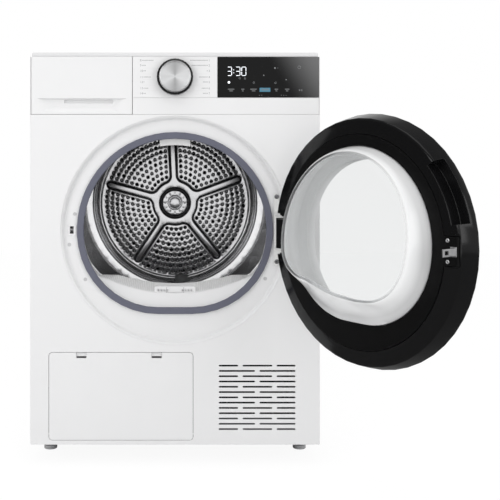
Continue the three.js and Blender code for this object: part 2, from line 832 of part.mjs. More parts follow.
function drumShell() {
  const outer = drumRadius;
  const inner = drumRadius - drumSheet;
  const front = drumFront + runningGap;
  const bead = 4;
  const outside = [];
  const inside = [];
  for (const y of beadPlaces) {
    outside.push([outer, y - 7], [outer - bead, y], [outer, y + 7]);
    inside.push([inner, y - 7], [inner - bead, y], [inner, y + 7]);
  }
  return ring([
    [outer - 16, front], [outer, front], ...outside, [outer, drumRear - 20],
    [inner, drumRear - 20], ...inside.reverse(), [inner, front + drumSheet], [outer - 16, front + drumSheet],
  ], 0, drumHeight, drumSides);
}

piece('drum_shell', drumShell(), steel);

const backPlane = drumRear - 20;
const fieldPlane = backPlane + 2;
const backRear = backPlane + 4.2;

// outline of the raised star: a round hub, spokes with round ends, and fillets between them
function starOutline(grow) {
  const half = spokeWidth / 2 + grow;
  const hub = starHub + grow;
  const fillet = starFillet - grow;
  const side = spokeWidth / 2 + starFillet;
  const rise = Math.sqrt((starHub + starFillet) ** 2 - side ** 2);
  const lean = Math.atan2(rise, side);
  const tip = perforatedRadius - 10 - spokeWidth / 2;
  const points = [];
  for (let i = 0; i < spokeCount; i++) {
    const turn = THREE.MathUtils.degToRad(spokeTurn) + i * Math.PI * 2 / spokeCount;
    const spoke = [
      ...arcPoints(side, rise, fillet, Math.PI + lean, Math.PI, 4),
      ...arcPoints(0, tip, half, 0, Math.PI, 6),
      ...arcPoints(-side, rise, fillet, 0, -lean, 4),
    ];
    points.push(...spoke.map(([x, z]) => [
      x * Math.cos(turn) - z * Math.sin(turn), drumHeight + x * Math.sin(turn) + z * Math.cos(turn)]));
    const last = turn + lean + Math.PI * 2 / spokeCount;
    const rimArc = arcPoints(0, drumHeight, hub, turn + Math.PI - lean, last, 3);
    points.push(...rimArc.slice(1, -1));
  }
  return polygon(points);
}

// a turned sheet with a stepped rim, a flat field and a hub ring, and a grooved star raised on the field
function drumBack() {
  const seam = drumRadius - drumSheet - runningGap;
  const rim = perforatedRadius;
  const raised = fieldPlane - spokeRaise;
  const sheetBody = turned([
    [0, backPlane - 4], [15, backPlane - 4], [20, backPlane - 1], [31, backPlane - 1], [34, backPlane + 3],
    [41, backPlane + 3], [45, raised], [starHub - 1, raised], [starHub - 1, fieldPlane],
    [rim, fieldPlane], [rim + 5, backPlane - 2], [rim + 18, backPlane - 2], [rim + 24, backPlane + 6],
    [rim + 34, backPlane + 6], [rim + 42, backPlane - 1], [rim + 54, backPlane - 1],
    [rim + 62, backPlane + 8],
    [seam - 8, backPlane + 8], [seam, backPlane - 10], [seam, backPlane + 10], [rim + 4, backPlane + 9],
    [rim, backRear], [0, backRear],
  ], 0, drumHeight, drumSides);
  const hubRoom = rodY(0, drumHeight, starHub - 3, backPlane - 10, backPlane + 10, drumSides);
  const groove = cut(plate(starOutline(grooveWidth), raised - 1, fieldPlane + grooveDepth), hubRoom);
  const star = cut(plate(starOutline(0), raised, backRear - 0.4), hubRoom);
  return join(cut(sheetBody, groove), star);
}

piece('drum_back', drumBack(), steel);

function drumLifter(angle) {
  const base = (drumRadius - drumSheet) * Math.cos(Math.PI / drumSides) - 2 * runningGap;
  const foot = -Math.sqrt(base ** 2 - lifterFoot ** 2);
  const crest = -base + lifterHeight;
  const waist = -base + lifterHeight * 0.55;
  const profile = new THREE.Shape();
  profile.moveTo(-lifterFoot, foot);
  profile.quadraticCurveTo(-12, waist, -9, crest - 5);
  profile.quadraticCurveTo(0, crest + 5, 9, crest - 5);
  profile.quadraticCurveTo(12, waist, lifterFoot, foot);
  const blade = plate(profile, drumFront + 30, backPlane - 24, 4);
  return blade.subtract(sideBeads()).rotate([0, angle, 0]).translate([0, 0, drumHeight]);
}

// room for the shell's pressed beads under a lifter
function sideBeads() {
  return join(...beadPlaces.map((y) => ring([
    [drumRadius + 4, y - 12], [drumRadius - 8.5, y], [drumRadius + 4, y + 12],
  ], 0, 0, drumSides)));
}

for (let i = 0; i < lifterCount; i++) {
  piece(`drum_lifter_${i + 1}`, drumLifter(i * 360 / lifterCount), whitePlastic);
}

const shaftRadius = 9;

function drumShaft() {
  const front = backRear + runningGap;
  return turned([
    [0, front], [46, front], [46, front + 3], [shaftRadius + 6, front + 9], [shaftRadius, front + 14],
    [shaftRadius, rearPanelY + 6], [0, rearPanelY + 6],
  ], 0, drumHeight, 16);
}

piece('drum_shaft', drumShaft(), zinc);

function rearBearing() {
  const bore = shaftRadius + runningGap;
  return ring([
    [bore, rearPanelY - 24], [16, rearPanelY - 24], [16, rearPanelY - 10], [70, rearPanelY - 6],
    [70, rearPanelY - runningGap], [bore, rearPanelY - runningGap],
  ], 0, drumHeight, 16);
}

piece('rear_bearing', rearBearing(), zinc);

// two rollers on the shield's pins carry the drum's front end
for (const [name, side] of [['left', -1], ['right', 1]]) {
  const wheel = ring([
    [axleRadius + runningGap, rollerFront - 2], [rollerRadius - 2, rollerFront - 2],
    [rollerRadius, rollerFront],
    [rollerRadius, rollerFront + rollerWidth], [axleRadius + runningGap, rollerFront + rollerWidth],
  ], side * rollerX, rollerZ, 18);
  piece(`support_roller_${name}`, wheel, rubber);
}

// ---------------------------------------------------------------- drive

const beltSides = 36;
const pulleySides = 8;
const beltInner = (drumRadius + runningGap) / Math.cos(Math.PI / beltSides);

// outline of a band laid round the drum and the motor pulley
function beltOutline(offset) {
  const big = beltInner + offset;
  const small = (pulleyRadius + runningGap) / Math.cos(Math.PI / pulleySides) + offset;
  const dx = motorX;
  const dz = motorHeight - drumHeight;
  const along = Math.atan2(dz, dx);
  const spread = Math.acos((big - small) / Math.hypot(dx, dz));
  return polygon([
    ...arcPoints(0, drumHeight, big, along + spread, along - spread + Math.PI * 2, beltSides),
    ...arcPoints(motorX, motorHeight, small, along - spread, along + spread, pulleySides),
  ]);
}

function driveBelt() {
  return cut(plate(beltOutline(beltThickness), beltFront, beltFront + beltWidth),
    plate(beltOutline(0), beltFront - 1, beltFront + beltWidth + 1));
}

piece('drive_belt', driveBelt(), rubber);

function driveMotor() {
  const can = turned([
    [0, motorFront], [motorRadius - 12, motorFront], [motorRadius, motorFront + 10],
    [motorRadius, motorBack - 10], [motorRadius - 12, motorBack], [0, motorBack],
  ], motorX, motorHeight, 18);
  const feet = [-1, 1].map((side) => box(motorX + side * 32 - 9, motorX + side * 32 + 9, motorFront + 16,
    motorBack - 16, trayFloor + runningGap, motorHeight - 34));
  return cut(join(can, ...feet), rodY(motorX, motorHeight, motorShaft + runningGap, motorFront - 1,
    motorBack + 1, 16));
}

piece('drive_motor', driveMotor(), zinc);

function motorRotor() {
  const shaft = rodY(motorX, motorHeight, motorShaft, beltFront - 6, rearPanelY - 22);
  const pulley = ring([
    [2, beltFront - 3], [pulleyRadius + 4, beltFront - 3], [pulleyRadius, beltFront - 1],
    [pulleyRadius, beltFront + beltWidth + 1], [pulleyRadius + 4, beltFront + beltWidth + 3],
    [2, beltFront + beltWidth + 3],
  ], motorX, motorHeight, 18);
  return join(shaft, pulley);
}

piece('motor_shaft', motorRotor(), steel);

const blowerRadius = 60;
const blowerFront = motorBack + 16;
const blowerBack = rearPanelY - 12;

function blowerWheel() {
  const bore = motorShaft + runningGap;
  const hub = ring([
    [bore, blowerFront + 4], [20, blowerFront + 4], [24, blowerBack - 8], [blowerRadius, blowerBack - 5],
    [blowerRadius, blowerBack - 3], [bore, blowerBack - 3],
  ], motorX, motorHeight, 18);
  const rim = ring([
    [blowerRadius - 12, blowerFront + 4], [blowerRadius, blowerFront + 4],
    [blowerRadius, blowerFront + 6], [blowerRadius - 12, blowerFront + 6],
  ], motorX, motorHeight, 18);
  const bladeCount = 9;
  const blades = [];
  for (let i = 0; i < bladeCount; i++) {
    const blade = box(-6, 6, blowerFront + 5, blowerBack - 4, -1, 1).rotate([0, 35, 0])
      .translate([blowerRadius - 7, 0, 0]);
    blades.push(blade.rotate([0, i * 360 / bladeCount, 0]).translate([motorX, 0, motorHeight]));
  }
  return join(hub, rim, ...blades);
}

piece('blower_wheel', blowerWheel(), greyPlastic);

// ---------------------------------------------------------------- door

const doorSides = 48;
const doorInside = 3.5;          // door's inner face behind the front panel's plane
const flangeFront = -14;
const flangeBack = -6;

function doorRing() {
  const seamInner = doorSeam + 0.6;
  const ringSolid = ring([
    [seamInner, doorInside], [doorRadius - 13.5, 1], [doorRadius - 8.5, -2.5], [doorRadius, -31],
    [doorRadius - 0.8, -36], [doorRadius - 7, -42], [doorRadius - 27.5, -46.5], [windowRadius + 7, -43],
    [windowRadius, -38], [windowRadius, flangeFront - 4], [windowRadius + 4, flangeFront - runningGap],
    [seamInner, flangeFront - runningGap],
  ], 0, openingHeight, doorSides);
  const armGap = hingeArmThickness / 2 + 1.5;
  const outside = doorRadius + 12;
  const notches = [-1, 1].map((side) => box(hingeX - 23.4, outside, -60, 10,
    openingHeight + side * hingeArmHeight - armGap, openingHeight + side * hingeArmHeight + armGap));
  const pocket = box(hingeX - 28.4, outside, -60, 10, openingHeight - hingeArmHeight - 2,
    openingHeight + hingeArmHeight + 2);
  const heelSeat = box(doorSeam - 4.5, outside, flangeBack - runningGap, 10, openingHeight - hingeArmHeight,
    openingHeight + hingeArmHeight);
  const pinRoom = rodZ(hingeX, hingeY, barrelRadius, openingHeight - hingeArmHeight - 13.5,
    openingHeight + hingeArmHeight + 13.5);
  const latchPocket = box(-latchX - 3.7, -doorSeam + 10.5, flangeBack, 10,
    openingHeight - 24, openingHeight + 24);
  return cut(ringSolid, ...notches, pocket, heelSeat, pinRoom, latchPocket, gripRecess());
}

// finger recess in the free edge, above the hook
function gripRecess() {
  const start = THREE.MathUtils.degToRad(180 - 41);
  const end = THREE.MathUtils.degToRad(180 - 11.5);
  const shape = new THREE.Shape();
  shape.absarc(0, openingHeight, doorSeam + 15.5, start, end, false);
  shape.absarc(0, openingHeight, doorRadius + 12, end, start, true);
  return plate(shape, -22, 10, 10);
}

piece('door_outer_ring', doorRing(), gloss, door);

function innerFrame() {
  const back = doorInside + 1;
  const outer = plate(disc(0, openingHeight, doorSeam), flangeBack + runningGap, back, doorSides / 2);
  const tab = box(-latchX - 3.4, -doorSeam + 8, flangeBack + runningGap, back, openingHeight - 23.5,
    openingHeight + 23.5);
  const heel = box(doorSeam - 8, hingeX - 16, flangeBack + runningGap, back,
    openingHeight - hingeArmHeight + hingeArmThickness / 2 + 2,
    openingHeight + hingeArmHeight - hingeArmThickness / 2 - 2);
  const window = plate(glassOutline(glassRadius + 1.6), flangeBack - 1, back + 1);
  return cut(join(outer, tab, heel), window);
}

function glassOutline(radius) {
  return polygon(flatBottomed(radius, glassShift, glassDrop, openingHeight + glassRise));
}

piece('door_inner_frame', innerFrame(), black, door);

// the bowl narrows to a slanted end that reaches furthest at the bottom
function bowlSection(inset, depth, slant, count = 36) {
  const points = glassOutline(glassRadius - inset).getSpacedPoints(count).slice(0, count);
  const middle = openingHeight + glassRise;
  return points.map((p) => {
    const low = (middle - p.y) / glassRadius;
    const squeeze = 1 - slant * (low > 0 ? 0.30 * low : 0.05);
    return new THREE.Vector3(p.x * (1 - slant * 0.12), depth * (1 - slant + slant * (0.60 + 0.40 * low)),
      middle + (p.y - middle) * squeeze);
  });
}

function bowlSolid(inset, front, extra) {
  return loft([
    bowlSection(inset, front, 0),
    bowlSection(inset, flangeBack, 0),
    bowlSection(inset + 2, 10, 0.25),
    bowlSection(inset + 5, bowlDepth * 0.62 - extra, 0.7),
    bowlSection(inset + 10, bowlDepth * 0.92 - extra, 0.95),
    bowlSection(inset + 18, bowlDepth - extra, 1),
  ]);
}

function doorGlass() {
  const flange = plate(disc(0, openingHeight, doorSeam - 4), flangeFront, flangeBack, 20);
  const outer = join(flange, bowlSolid(0, flangeFront, 0));
  const inner = bowlSolid(glassWall, flangeFront - 2, glassWall);
  return cut(outer, inner);
}

piece('door_glass', doorGlass(), clear, door);

// steel hook with a square window near its tip
function doorHook() {
  const base = doorInside + 1 + runningGap;
  const foot = box(-latchX - 2.5, -latchX + 9, base, base + 2, openingHeight - 8, openingHeight + 8);
  const blade = box(-latchX - 2.5, -latchX, base, base + hookReach, openingHeight - 6.2, openingHeight + 6.2);
  const window = box(-latchX - 4, -latchX + 2, base + hookReach - 14, base + hookReach - 4,
    openingHeight - 3.2, openingHeight + 3.2);
  return cut(join(foot, blade), window);
}

piece('door_hook', doorHook(), steel, door);

// the door's half of the hinge turns on the pin between the two arms
function doorHinge() {
  const reach = hingeArmHeight - hingeArmThickness / 2 - 0.6;
  const low = openingHeight - reach;
  const high = openingHeight + reach;
  const barrel = rodZ(hingeX, hingeY, barrelRadius, low, high, 24);
  const block = box(hingeX - 27.8, hingeX - 3, hingeY - 4, flangeBack, low, high);
  return cut(join(barrel, block), rodZ(hingeX, hingeY, hingePinRadius + runningGap, low - 1, high + 1, 20));
}

piece('door_hinge', doorHinge(), black, door);

// ---------------------------------------------------------------- hinge bracket and lock on the cabinet

const hingePlate = 3;

function hingeArm(height) {
  const back = dishDepth - runningGap;
  const shape = new THREE.Shape();
  shape.moveTo(hingeX - 20.9, back);
  shape.lineTo(hingeX - 8.4, back);
  shape.lineTo(hingeX - 5.9, hingeY + 16);
  shape.lineTo(hingeX + 7.5, hingeY + 4);
  shape.absarc(hingeX, hingeY, 8, 0.5, -Math.PI * 0.85, true);
  shape.lineTo(hingeX - 12.4, hingeY + 14);
  return slab(shape, height - hingeArmThickness / 2, height + hingeArmThickness / 2, 5);
}

function hingeBracket() {
  const back = dishDepth - runningGap;
  const high = openingHeight + 77;
  const low = openingHeight - 74;
  const inner = hingeX - 22.1;
  const outer = hingeX - 6.9;
  const shape = polygon([
    [inner, low], [inner + 7.7, low], [outer, openingHeight - hingeArmHeight - 12],
    [outer, openingHeight + hingeArmHeight + 12], [inner + 7.7, high], [inner, high],
  ]);
  const mount = plate(shape, back - hingePlate, back);
  const arms = [-1, 1].map((side) => hingeArm(openingHeight + side * hingeArmHeight));
  const bore = rodZ(hingeX, hingeY, hingePinRadius + runningGap, low, high, 20);
  return cut(join(mount, ...arms), bore);
}

piece('hinge_bracket', hingeBracket(), castGrey);

function hingePin() {
  const reach = hingeArmHeight + hingeArmThickness / 2;
  const top = openingHeight + reach + runningGap;
  return join(rodZ(hingeX, hingeY, hingePinRadius, openingHeight - reach - 2, top + 2, 20),
    rodZ(hingeX, hingeY, 6.5, top, top + 2.5, 20));
}

piece('hinge_pin', hingePin(), steel);

function doorLock() {
  const face = dishDepth - 1.5;
  const shape = roundedBox(-latchX - 8.5, -latchX + 8, openingHeight - 12, openingHeight + 12, 1.5);
  const front = plate(shape, face, dishDepth - runningGap, 3);
  const shell = box(-latchX - 7, -latchX + 6, dishDepth - 1, 54, openingHeight - 10.5, openingHeight + 10.5);
  const mouth = box(-latchX - 5.2, -latchX + 2.8, face - 1, 46, openingHeight - 7.8, openingHeight + 7.8);
  return cut(join(front, shell), mouth);
}

piece('door_lock', doorLock(), whitePlastic);

// ---------------------------------------------------------------- service flap and heat exchangers

const flapThickness = 4;
const latchWidth = 20;
const latchHeight = 7.7;
const latchTravel = 2.8;
const latchInset = 3.4;          // tab's face behind the flap's, for a fingertip
const latchPlaces = [flapLeft + 66.5, flapRight - 74.5];

function serviceFlap() {
  const face = plate(roundedBox(flapLeft, flapRight, flapBottom, flapTop, flapCorner), 0, flapThickness, 5);
  const pan = box(flapLeft + 8, flapRight - 8, flapThickness - 1.5, flapThickness + 1, flapBottom + 12,
    flapTop - 16);
  const half = latchWidth / 2 + runningGap;
  const slotBottom = flapTop - 0.5 - latchHeight - latchTravel - runningGap;
  const slots = latchPlaces.map((x) => box(x - half, x + half, -1, flapThickness + 1,
    slotBottom, flapTop + 1));
  const height = flapBottom + flapPinRise;
  const pins = [[flapLeft - 7, flapLeft + 10], [flapRight - 10, flapRight + 7]].map(
    ([x0, x1]) => rodX(flapPinY, height, flapPinRadius, x0, x1, 12));
  return join(cut(face, pan, ...slots), ...pins);
}

piece('service_flap', serviceFlap(), white);

// sliding tabs that hold the flap's upper edge
latchPlaces.forEach((x, i) => {
  const top = flapTop - 0.5;
  const tab = box(x - latchWidth / 2, x + latchWidth / 2, latchInset, flapThickness + 1.4,
    top - latchHeight, top);
  const nose = box(x - 7, x + 7, flapThickness - 1, flapThickness + 3, top - latchHeight + 1, top - 2);
  piece(`flap_latch_${i + 1}`, join(tab, nose), whitePlastic);
});

const coverY = 26;
const leverPlaces = [flapLeft + 40, flapRight - 40];
const coverTop = flapTop - 6;
const coverBottom = flapBottom + 8;
const leverHeight = (coverTop + coverBottom) / 2;
const exchangerTop = coverTop - 22;

function exchangerCover() {
  const shape = roundedBox(flapLeft + 12, flapRight - 12, coverBottom, coverTop, 8);
  const outer = plate(shape, coverY, coverY + 26, 2);
  const hollow = plate(roundedBox(flapLeft + 16, flapRight - 16, coverBottom + 4, coverTop - 4, 6),
    coverY + 4, coverY + 27, 2);
  const panel = plate(roundedBox(flapLeft + 70, flapRight - 70, coverBottom + 34, coverTop - 34, 6),
    coverY - 1, coverY + 1.5, 2);
  const feet = leverPlaces.map((x) => box(x - 15, x + 15, coverY + 1, coverY + 24, trayFloor + runningGap,
    coverBottom + 2));
  const bosses = leverPlaces.map((x) => rodY(x, leverHeight, 12, coverY + 3, coverY + 14));
  const bores = leverPlaces.map((x) => rodY(x, leverHeight, 4 + runningGap, coverY - 1, coverY + 12));
  return cut(join(cut(outer, hollow, panel), ...bosses, ...feet), ...bores);
}

piece('exchanger_cover', exchangerCover(), greyPlastic);

leverPlaces.forEach((x, i) => {
  const handle = plate(roundedBox(x - 7, x + 7, leverHeight - 26, leverHeight + 26, 6), coverY - 8,
    coverY - runningGap, 2);
  const pin = rodY(x, leverHeight, 4, coverY - 2, coverY + 11);
  piece(`exchanger_lever_${i + 1}`, join(handle, pin), slate);
});

// finned block with its tube bends on the left side
function exchanger(y0, y1) {
  const left = flapLeft + 30;
  const right = flapRight - 22;
  const low = trayFloor + runningGap;
  const high = exchangerTop;
  const fins = [];
  const pitch = 20;
  for (let x = left + pitch; x < right; x += pitch) {
    fins.push(box(x - pitch / 2 - 2.5, x - pitch / 2 + 2.5, y0 - 1, y0 + 4, low + 10, high + 1));
  }
  const block = cut(box(left, right, y0, y1, low, high), ...fins);
  const bends = [];
  for (let z = low + 24; z < high - 20; z += 34) {
    bends.push(rodX((y0 + y1) / 2, z, 8, left - 12, left + 1, 8));
  }
  return join(block, ...bends);
}

const evaporatorDepth = 80;
const condenserDepth = 110;
const evaporatorFront = coverY + 40;
const condenserFront = evaporatorFront + evaporatorDepth + 20;

piece('evaporator', exchanger(evaporatorFront, evaporatorFront + evaporatorDepth), aluminium);
piece('condenser', exchanger(condenserFront, condenserFront + condenserDepth), copper);

function compressor() {
  const x = fanX - 18.7;
  const y = condenserFront + 64;
  const low = trayFloor + runningGap;
  const high = exchangerTop - 8.7;
  const profile = [
    [0, low + 14], [52, low + 14], [58, low + 22], [58, high - 30], [46, high - 12], [0, high - 6],
  ];
  const can = body(new THREE.LatheGeometry(profile.map(([r, z]) => new THREE.Vector2(r, z)), 18)
    .rotateX(Math.PI / 2).translate(x, y, 0));
  const feet = [0, 1, 2].map((i) => {
    const angle = i * Math.PI * 2 / 3 + 0.5;
    return rodZ(x + 50 * Math.cos(angle), y + 50 * Math.sin(angle), 12, low, low + 18, 8);
  });
  const dome = rodZ(x + 10, y, 20, high - 14, high, 12);
  return join(can, ...feet, dome);
}

piece('compressor', compressor(), black);

// ---------------------------------------------------------------- cooling fan behind the grille

const fanFront = 40;
const fanBack = 68;
const fanHub = fanRadius * 0.32;

function fanFrame() {
  const half = fanRadius + 8;
  const square = roundedBox(fanX - half, fanX + half, fanHeight - half, fanHeight + half, 8);
  const frame = cut(plate(square, fanFront, fanBack, 4),
    rodY(fanX, fanHeight, fanRadius + 2, fanFront - 1, fanBack + 1, 24));
  const bars = [0, 1, 2].map((i) => box(-2.5, 2.5, fanBack - 4, fanBack, fanHub - 4, fanRadius + 4)
    .rotate([0, 60 + i * 120, 0]).translate([fanX, 0, fanHeight]));
  const motor = rodY(fanX, fanHeight, fanHub, fanBack - 8, fanBack, 16);
  const legs = [-1, 1].map((side) => box(fanX + side * (half - 20) - 8, fanX + side * (half - 20) + 8,
    fanFront + 4, fanBack - 4, trayFloor + runningGap, fanHeight - half + 1));
  const bore = rodY(fanX, fanHeight, 3 + runningGap, fanBack - 9, fanBack - 2);
  return cut(join(frame, ...bars, motor, ...legs), bore);
}

piece('fan_frame', fanFrame(), black);

function coolingFan() {
  const hub = rodY(fanX, fanHeight, fanHub, fanFront + 4, fanBack - 8.6, 16);
  const pin = rodY(fanX, fanHeight, 3, fanBack - 9, fanBack - 3, 12);
  const bladeCount = 7;
  const blades = [];
  for (let i = 0; i < bladeCount; i++) {
    const blade = box(-14, 14, -1, 1, fanHub - 2, fanRadius).rotate([0, 0, 32]);
    blades.push(blade.translate([0, (fanFront + fanBack) / 2 - 2, 0]).rotate([0, i * 360 / bladeCount, 0])
      .translate([fanX, 0, fanHeight]));
  }
  return join(hub, pin, ...blades);
}

piece('cooling_fan', coolingFan(), black);

// ---------------------------------------------------------------- condensate and mains

const pumpX = -120;
const pumpY = rearPanelY - 132;

function condensatePump() {
  const low = trayFloor + runningGap;
  return join(rodZ(pumpX, pumpY, 24, low, low + 30, 16), rodZ(pumpX, pumpY, 18, low + 28, low + 70, 16),
    rodX(pumpY, low + 14, 7, pumpX - 46, pumpX, 12));
}

piece('condensate_pump', condensatePump(), greyPlastic);

// from the pump up the left rear corner to the shelf over the tank
function condensateHose() {
  const low = trayFloor + runningGap + 14;
  const high = tankTop - 18;
  const side = -halfWidth + 24;
  const rear = rearPanelY - 24;
  const inletX = drawerLeft + 40;
  const inletY = tankBack + 24 + runningGap;
  return tube([
    [pumpX - 46 - runningGap, pumpY, low], [pumpX - 64, pumpY, low], [side + 46, pumpY + 22, low + 6],
    [side + 10, rear - 28, low + 40], [side + 2, rear - 3, low + 144], [side, rear, low + 364],
    [side, rear, high - 166], [side + 2, rear - 13, high - 46], [side + 12, rear - 48, high - 6],
    [inletX, inletY + 9, high], [inletX, inletY, high],
  ], 6, 26, 3);
}

piece('condensate_hose', condensateHose(), greyPlastic);

function cordGland() {
  return turned([
    [0, rearPanelY + sheet + runningGap], [12, rearPanelY + sheet + runningGap], [12, rearPanelY + 6],
    [9, rearPanelY + 8], [8, rearPanelY + 16], [0, rearPanelY + 16],
  ], -halfWidth + 57.5, footHeight + 32, 14);
}

piece('cord_gland', cordGland(), rubber);

// ---------------------------------------------------------------- origin under the middle of the whole dryer

const extent = new THREE.Box3().setFromObject(dryer);
const middle = extent.getCenter(new THREE.Vector3());
cabinet.position.set(-middle.x, -middle.y, -extent.min.z);

export default dryer;
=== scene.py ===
# The looks of a front loading clothes dryer that stands with its round door open.
import bpy
import json
from math import asin, atan2, copysign, cos, degrees, hypot, pi, radians, sin, sqrt
from mathutils import Matrix, Vector
from mathutils.bvhtree import BVHTree
from mathutils.geometry import delaunay_2d_cdt


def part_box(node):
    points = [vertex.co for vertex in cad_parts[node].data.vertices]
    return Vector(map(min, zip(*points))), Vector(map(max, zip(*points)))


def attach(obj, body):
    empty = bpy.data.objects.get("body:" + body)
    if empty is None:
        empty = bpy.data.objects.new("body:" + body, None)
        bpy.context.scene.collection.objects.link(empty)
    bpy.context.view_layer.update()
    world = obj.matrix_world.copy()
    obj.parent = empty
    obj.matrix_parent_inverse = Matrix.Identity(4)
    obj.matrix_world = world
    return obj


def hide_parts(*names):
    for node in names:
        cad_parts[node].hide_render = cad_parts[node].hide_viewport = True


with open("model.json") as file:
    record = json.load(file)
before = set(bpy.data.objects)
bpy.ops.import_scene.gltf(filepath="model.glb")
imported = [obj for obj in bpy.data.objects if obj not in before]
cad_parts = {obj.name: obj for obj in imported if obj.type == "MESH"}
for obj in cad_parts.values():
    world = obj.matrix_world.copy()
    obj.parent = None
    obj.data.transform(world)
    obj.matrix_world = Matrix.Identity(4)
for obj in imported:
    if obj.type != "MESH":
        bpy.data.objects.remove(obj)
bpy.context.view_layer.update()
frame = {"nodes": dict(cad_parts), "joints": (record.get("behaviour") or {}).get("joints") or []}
nodes = frame["nodes"]
mm = 0.001

# -------- camera
# A long lens stands in front of the cabinet's middle, level, at the height of the loading opening's upper
# part. Its shift puts the cabinet to the left, so that the open door has room on the right.
panel_low, panel_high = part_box("front_panel")
middle_x = (panel_low.x + panel_high.x) / 2
front_y = panel_low.y
camera_distance = 1800 * mm
lens_height = 621.7 * mm


def added(name, data):
    """A new object in the scene."""
    thing = bpy.data.objects.new(name, data)
    bpy.context.scene.collection.objects.link(thing)
    return thing


camera = added("camera", bpy.data.cameras.new("camera"))
camera.location = (middle_x, front_y - camera_distance, lens_height)
camera.rotation_euler = (radians(90), 0, 0)
camera.data.lens = 63.1
camera.data.shift_x = 0.15
camera.data.shift_y = -0.179
camera.data.clip_start = 0.02
bpy.context.scene.camera = camera

# -------- side panels and rear panel
# Folded sheet steel. The sides are sprayed with white enamel, which leaves a faint orange peel. The rear and
# the air duct on it stay galvanised, with the zinc's crystals. All are screwed to the base and to each other.


class Wire:
    """A shader socket that reads like a number: its operators add Math nodes."""

    def __init__(self, finish, socket):
        self.finish = finish
        self.socket = socket

    def math(self, operation, *values):
        return self.finish.node("Math", {"operation": operation}, dict(enumerate(values)))

    def __add__(self, other):
        return self.math("ADD", self, other)

    __radd__ = __add__

    def __sub__(self, other):
        return self.math("SUBTRACT", self, other)

    def __rsub__(self, other):
        return self.math("SUBTRACT", other, self)

    def __mul__(self, other):
        return self.math("MULTIPLY", self, other)

    __rmul__ = __mul__

    def between(self, low, high):
        """0 at low, 1 at high, with a soft start and end."""
        inputs = {"Value": self, "From Min": low, "From Max": high}
        return self.finish.node("MapRange", {"interpolation_type": "SMOOTHSTEP"}, inputs, "Result")


class Finish:
    """One material in the making. Every node comes from node()."""

    def __init__(self, name):
        self.material = bpy.data.materials.new(name)
        self.material.use_nodes = True
        self.tree = self.material.node_tree
        self.tree.nodes.clear()

    def node(self, kind, settings=None, inputs=None, output=0):
        made = self.tree.nodes.new("ShaderNode" + kind)
        for key, value in (settings or {}).items():
            if key == "stops":
                ramp = made.color_ramp.elements
                while len(ramp) < len(value):
                    ramp.new(0.5)
                for stop, (position, color) in zip(ramp, value):
                    stop.position = position
                    stop.color = (*color, 1)
            else:
                setattr(made, key, value)
        for key, value in (inputs or {}).items():
            if isinstance(value, Wire):
                self.tree.links.new(value.socket, made.inputs[key])
            elif made.inputs[key].type == "RGBA":
                made.inputs[key].default_value = (*value, 1)
            else:
                made.inputs[key].default_value = value
        return Wire(self, made.outputs[output]) if made.outputs else None

    def place(self, stretch=(1, 1, 1), shift=(0, 0, 0)):
        """The point on the piece in metres, moved and then stretched."""
        at = self.node("TexCoord", output="Object")
        moved = self.node("VectorMath", {"operation": "ADD"}, {0: at, 1: shift}, "Vector")
        return self.node("VectorMath", {"operation": "MULTIPLY"}, {0: moved, 1: stretch}, "Vector")

    def noise(self, size, detail=2.0, stretch=(1, 1, 1)):
        """Cloudy values round 0.5, with lumps about as wide as size, in mm."""
        inputs = {"Vector": self.place(stretch), "Scale": 1 / (size * mm), "Detail": detail}
        return self.node("TexNoise", None, inputs, "Fac")

    def tint(self, mask, low, high):
        """A colour between two colours."""
        return self.node("Mix", {"data_type": "RGBA"}, {"Factor": mask, 6: low, 7: high}, 2)

    def shades(self, mask, color, low, high=1.0):
        """A colour between two shades of itself."""
        return self.tint(mask, [c * low for c in color], [c * high for c in color])

    def bump(self, height, depth):
        """Relief of a depth in mm."""
        return self.node("Bump", None, {"Height": height, "Distance": depth * mm, "Strength": 1.0}, "Normal")

    def surface(self, **sockets):
        """Ends the material with the surface shader; a socket is named in lower case with underscores."""
        inputs = {name.replace("_", " ").title().replace("Ior", "IOR"): v for name, v in sockets.items()}
        self.node("OutputMaterial", None, {"Surface": self.node("BsdfPrincipled", None, inputs)})
        return self.material


def dress(material, radius, *names, merged=True):
    """Gives CAD nodes a finish, rounds their sharp edges by a radius in mm and smooths their curved faces.

    merged first makes one face of each flat one's triangles. It is off where that would fold a face."""
    for name in names:
        thing = nodes[name]
        for attribute in ("custom_normal", "sharp_edge", "sharp_face"):
            found = thing.data.attributes.get(attribute)
            if found:
                thing.data.attributes.remove(found)
        thing.data.materials.clear()
        thing.data.materials.append(material)
        thing.data.shade_smooth()
        thing.modifiers.new("one skin", "WELD").merge_threshold = 1e-6
        if merged:
            flat = thing.modifiers.new("flat faces", "DECIMATE")
            flat.decimate_type = "DISSOLVE"
            flat.angle_limit = radians(0.4)
        if radius:
            edge = thing.modifiers.new("edges", "BEVEL")
            edge.width = radius * mm
            edge.segments = 2
            edge.limit_method = "ANGLE"
            edge.angle_limit = radians(32)
            edge.use_clamp_overlap = False
        thing.modifiers.new("normals", "WEIGHTED_NORMAL").weight = 80


def enamel(name, color):
    """Sprayed and baked enamel on steel sheet."""
    paint = Finish(name)
    peel = paint.noise(1.6, 1.0)
    cloud = paint.noise(120)
    return paint.surface(base_color=paint.shades(cloud, color, 0.985), roughness=0.27 + cloud * 0.07,
                         normal=paint.bump(peel, 0.012), coat_weight=0.15, coat_roughness=0.1)


white = (0.86, 0.86, 0.865)
white_enamel = enamel("white_enamel", white)


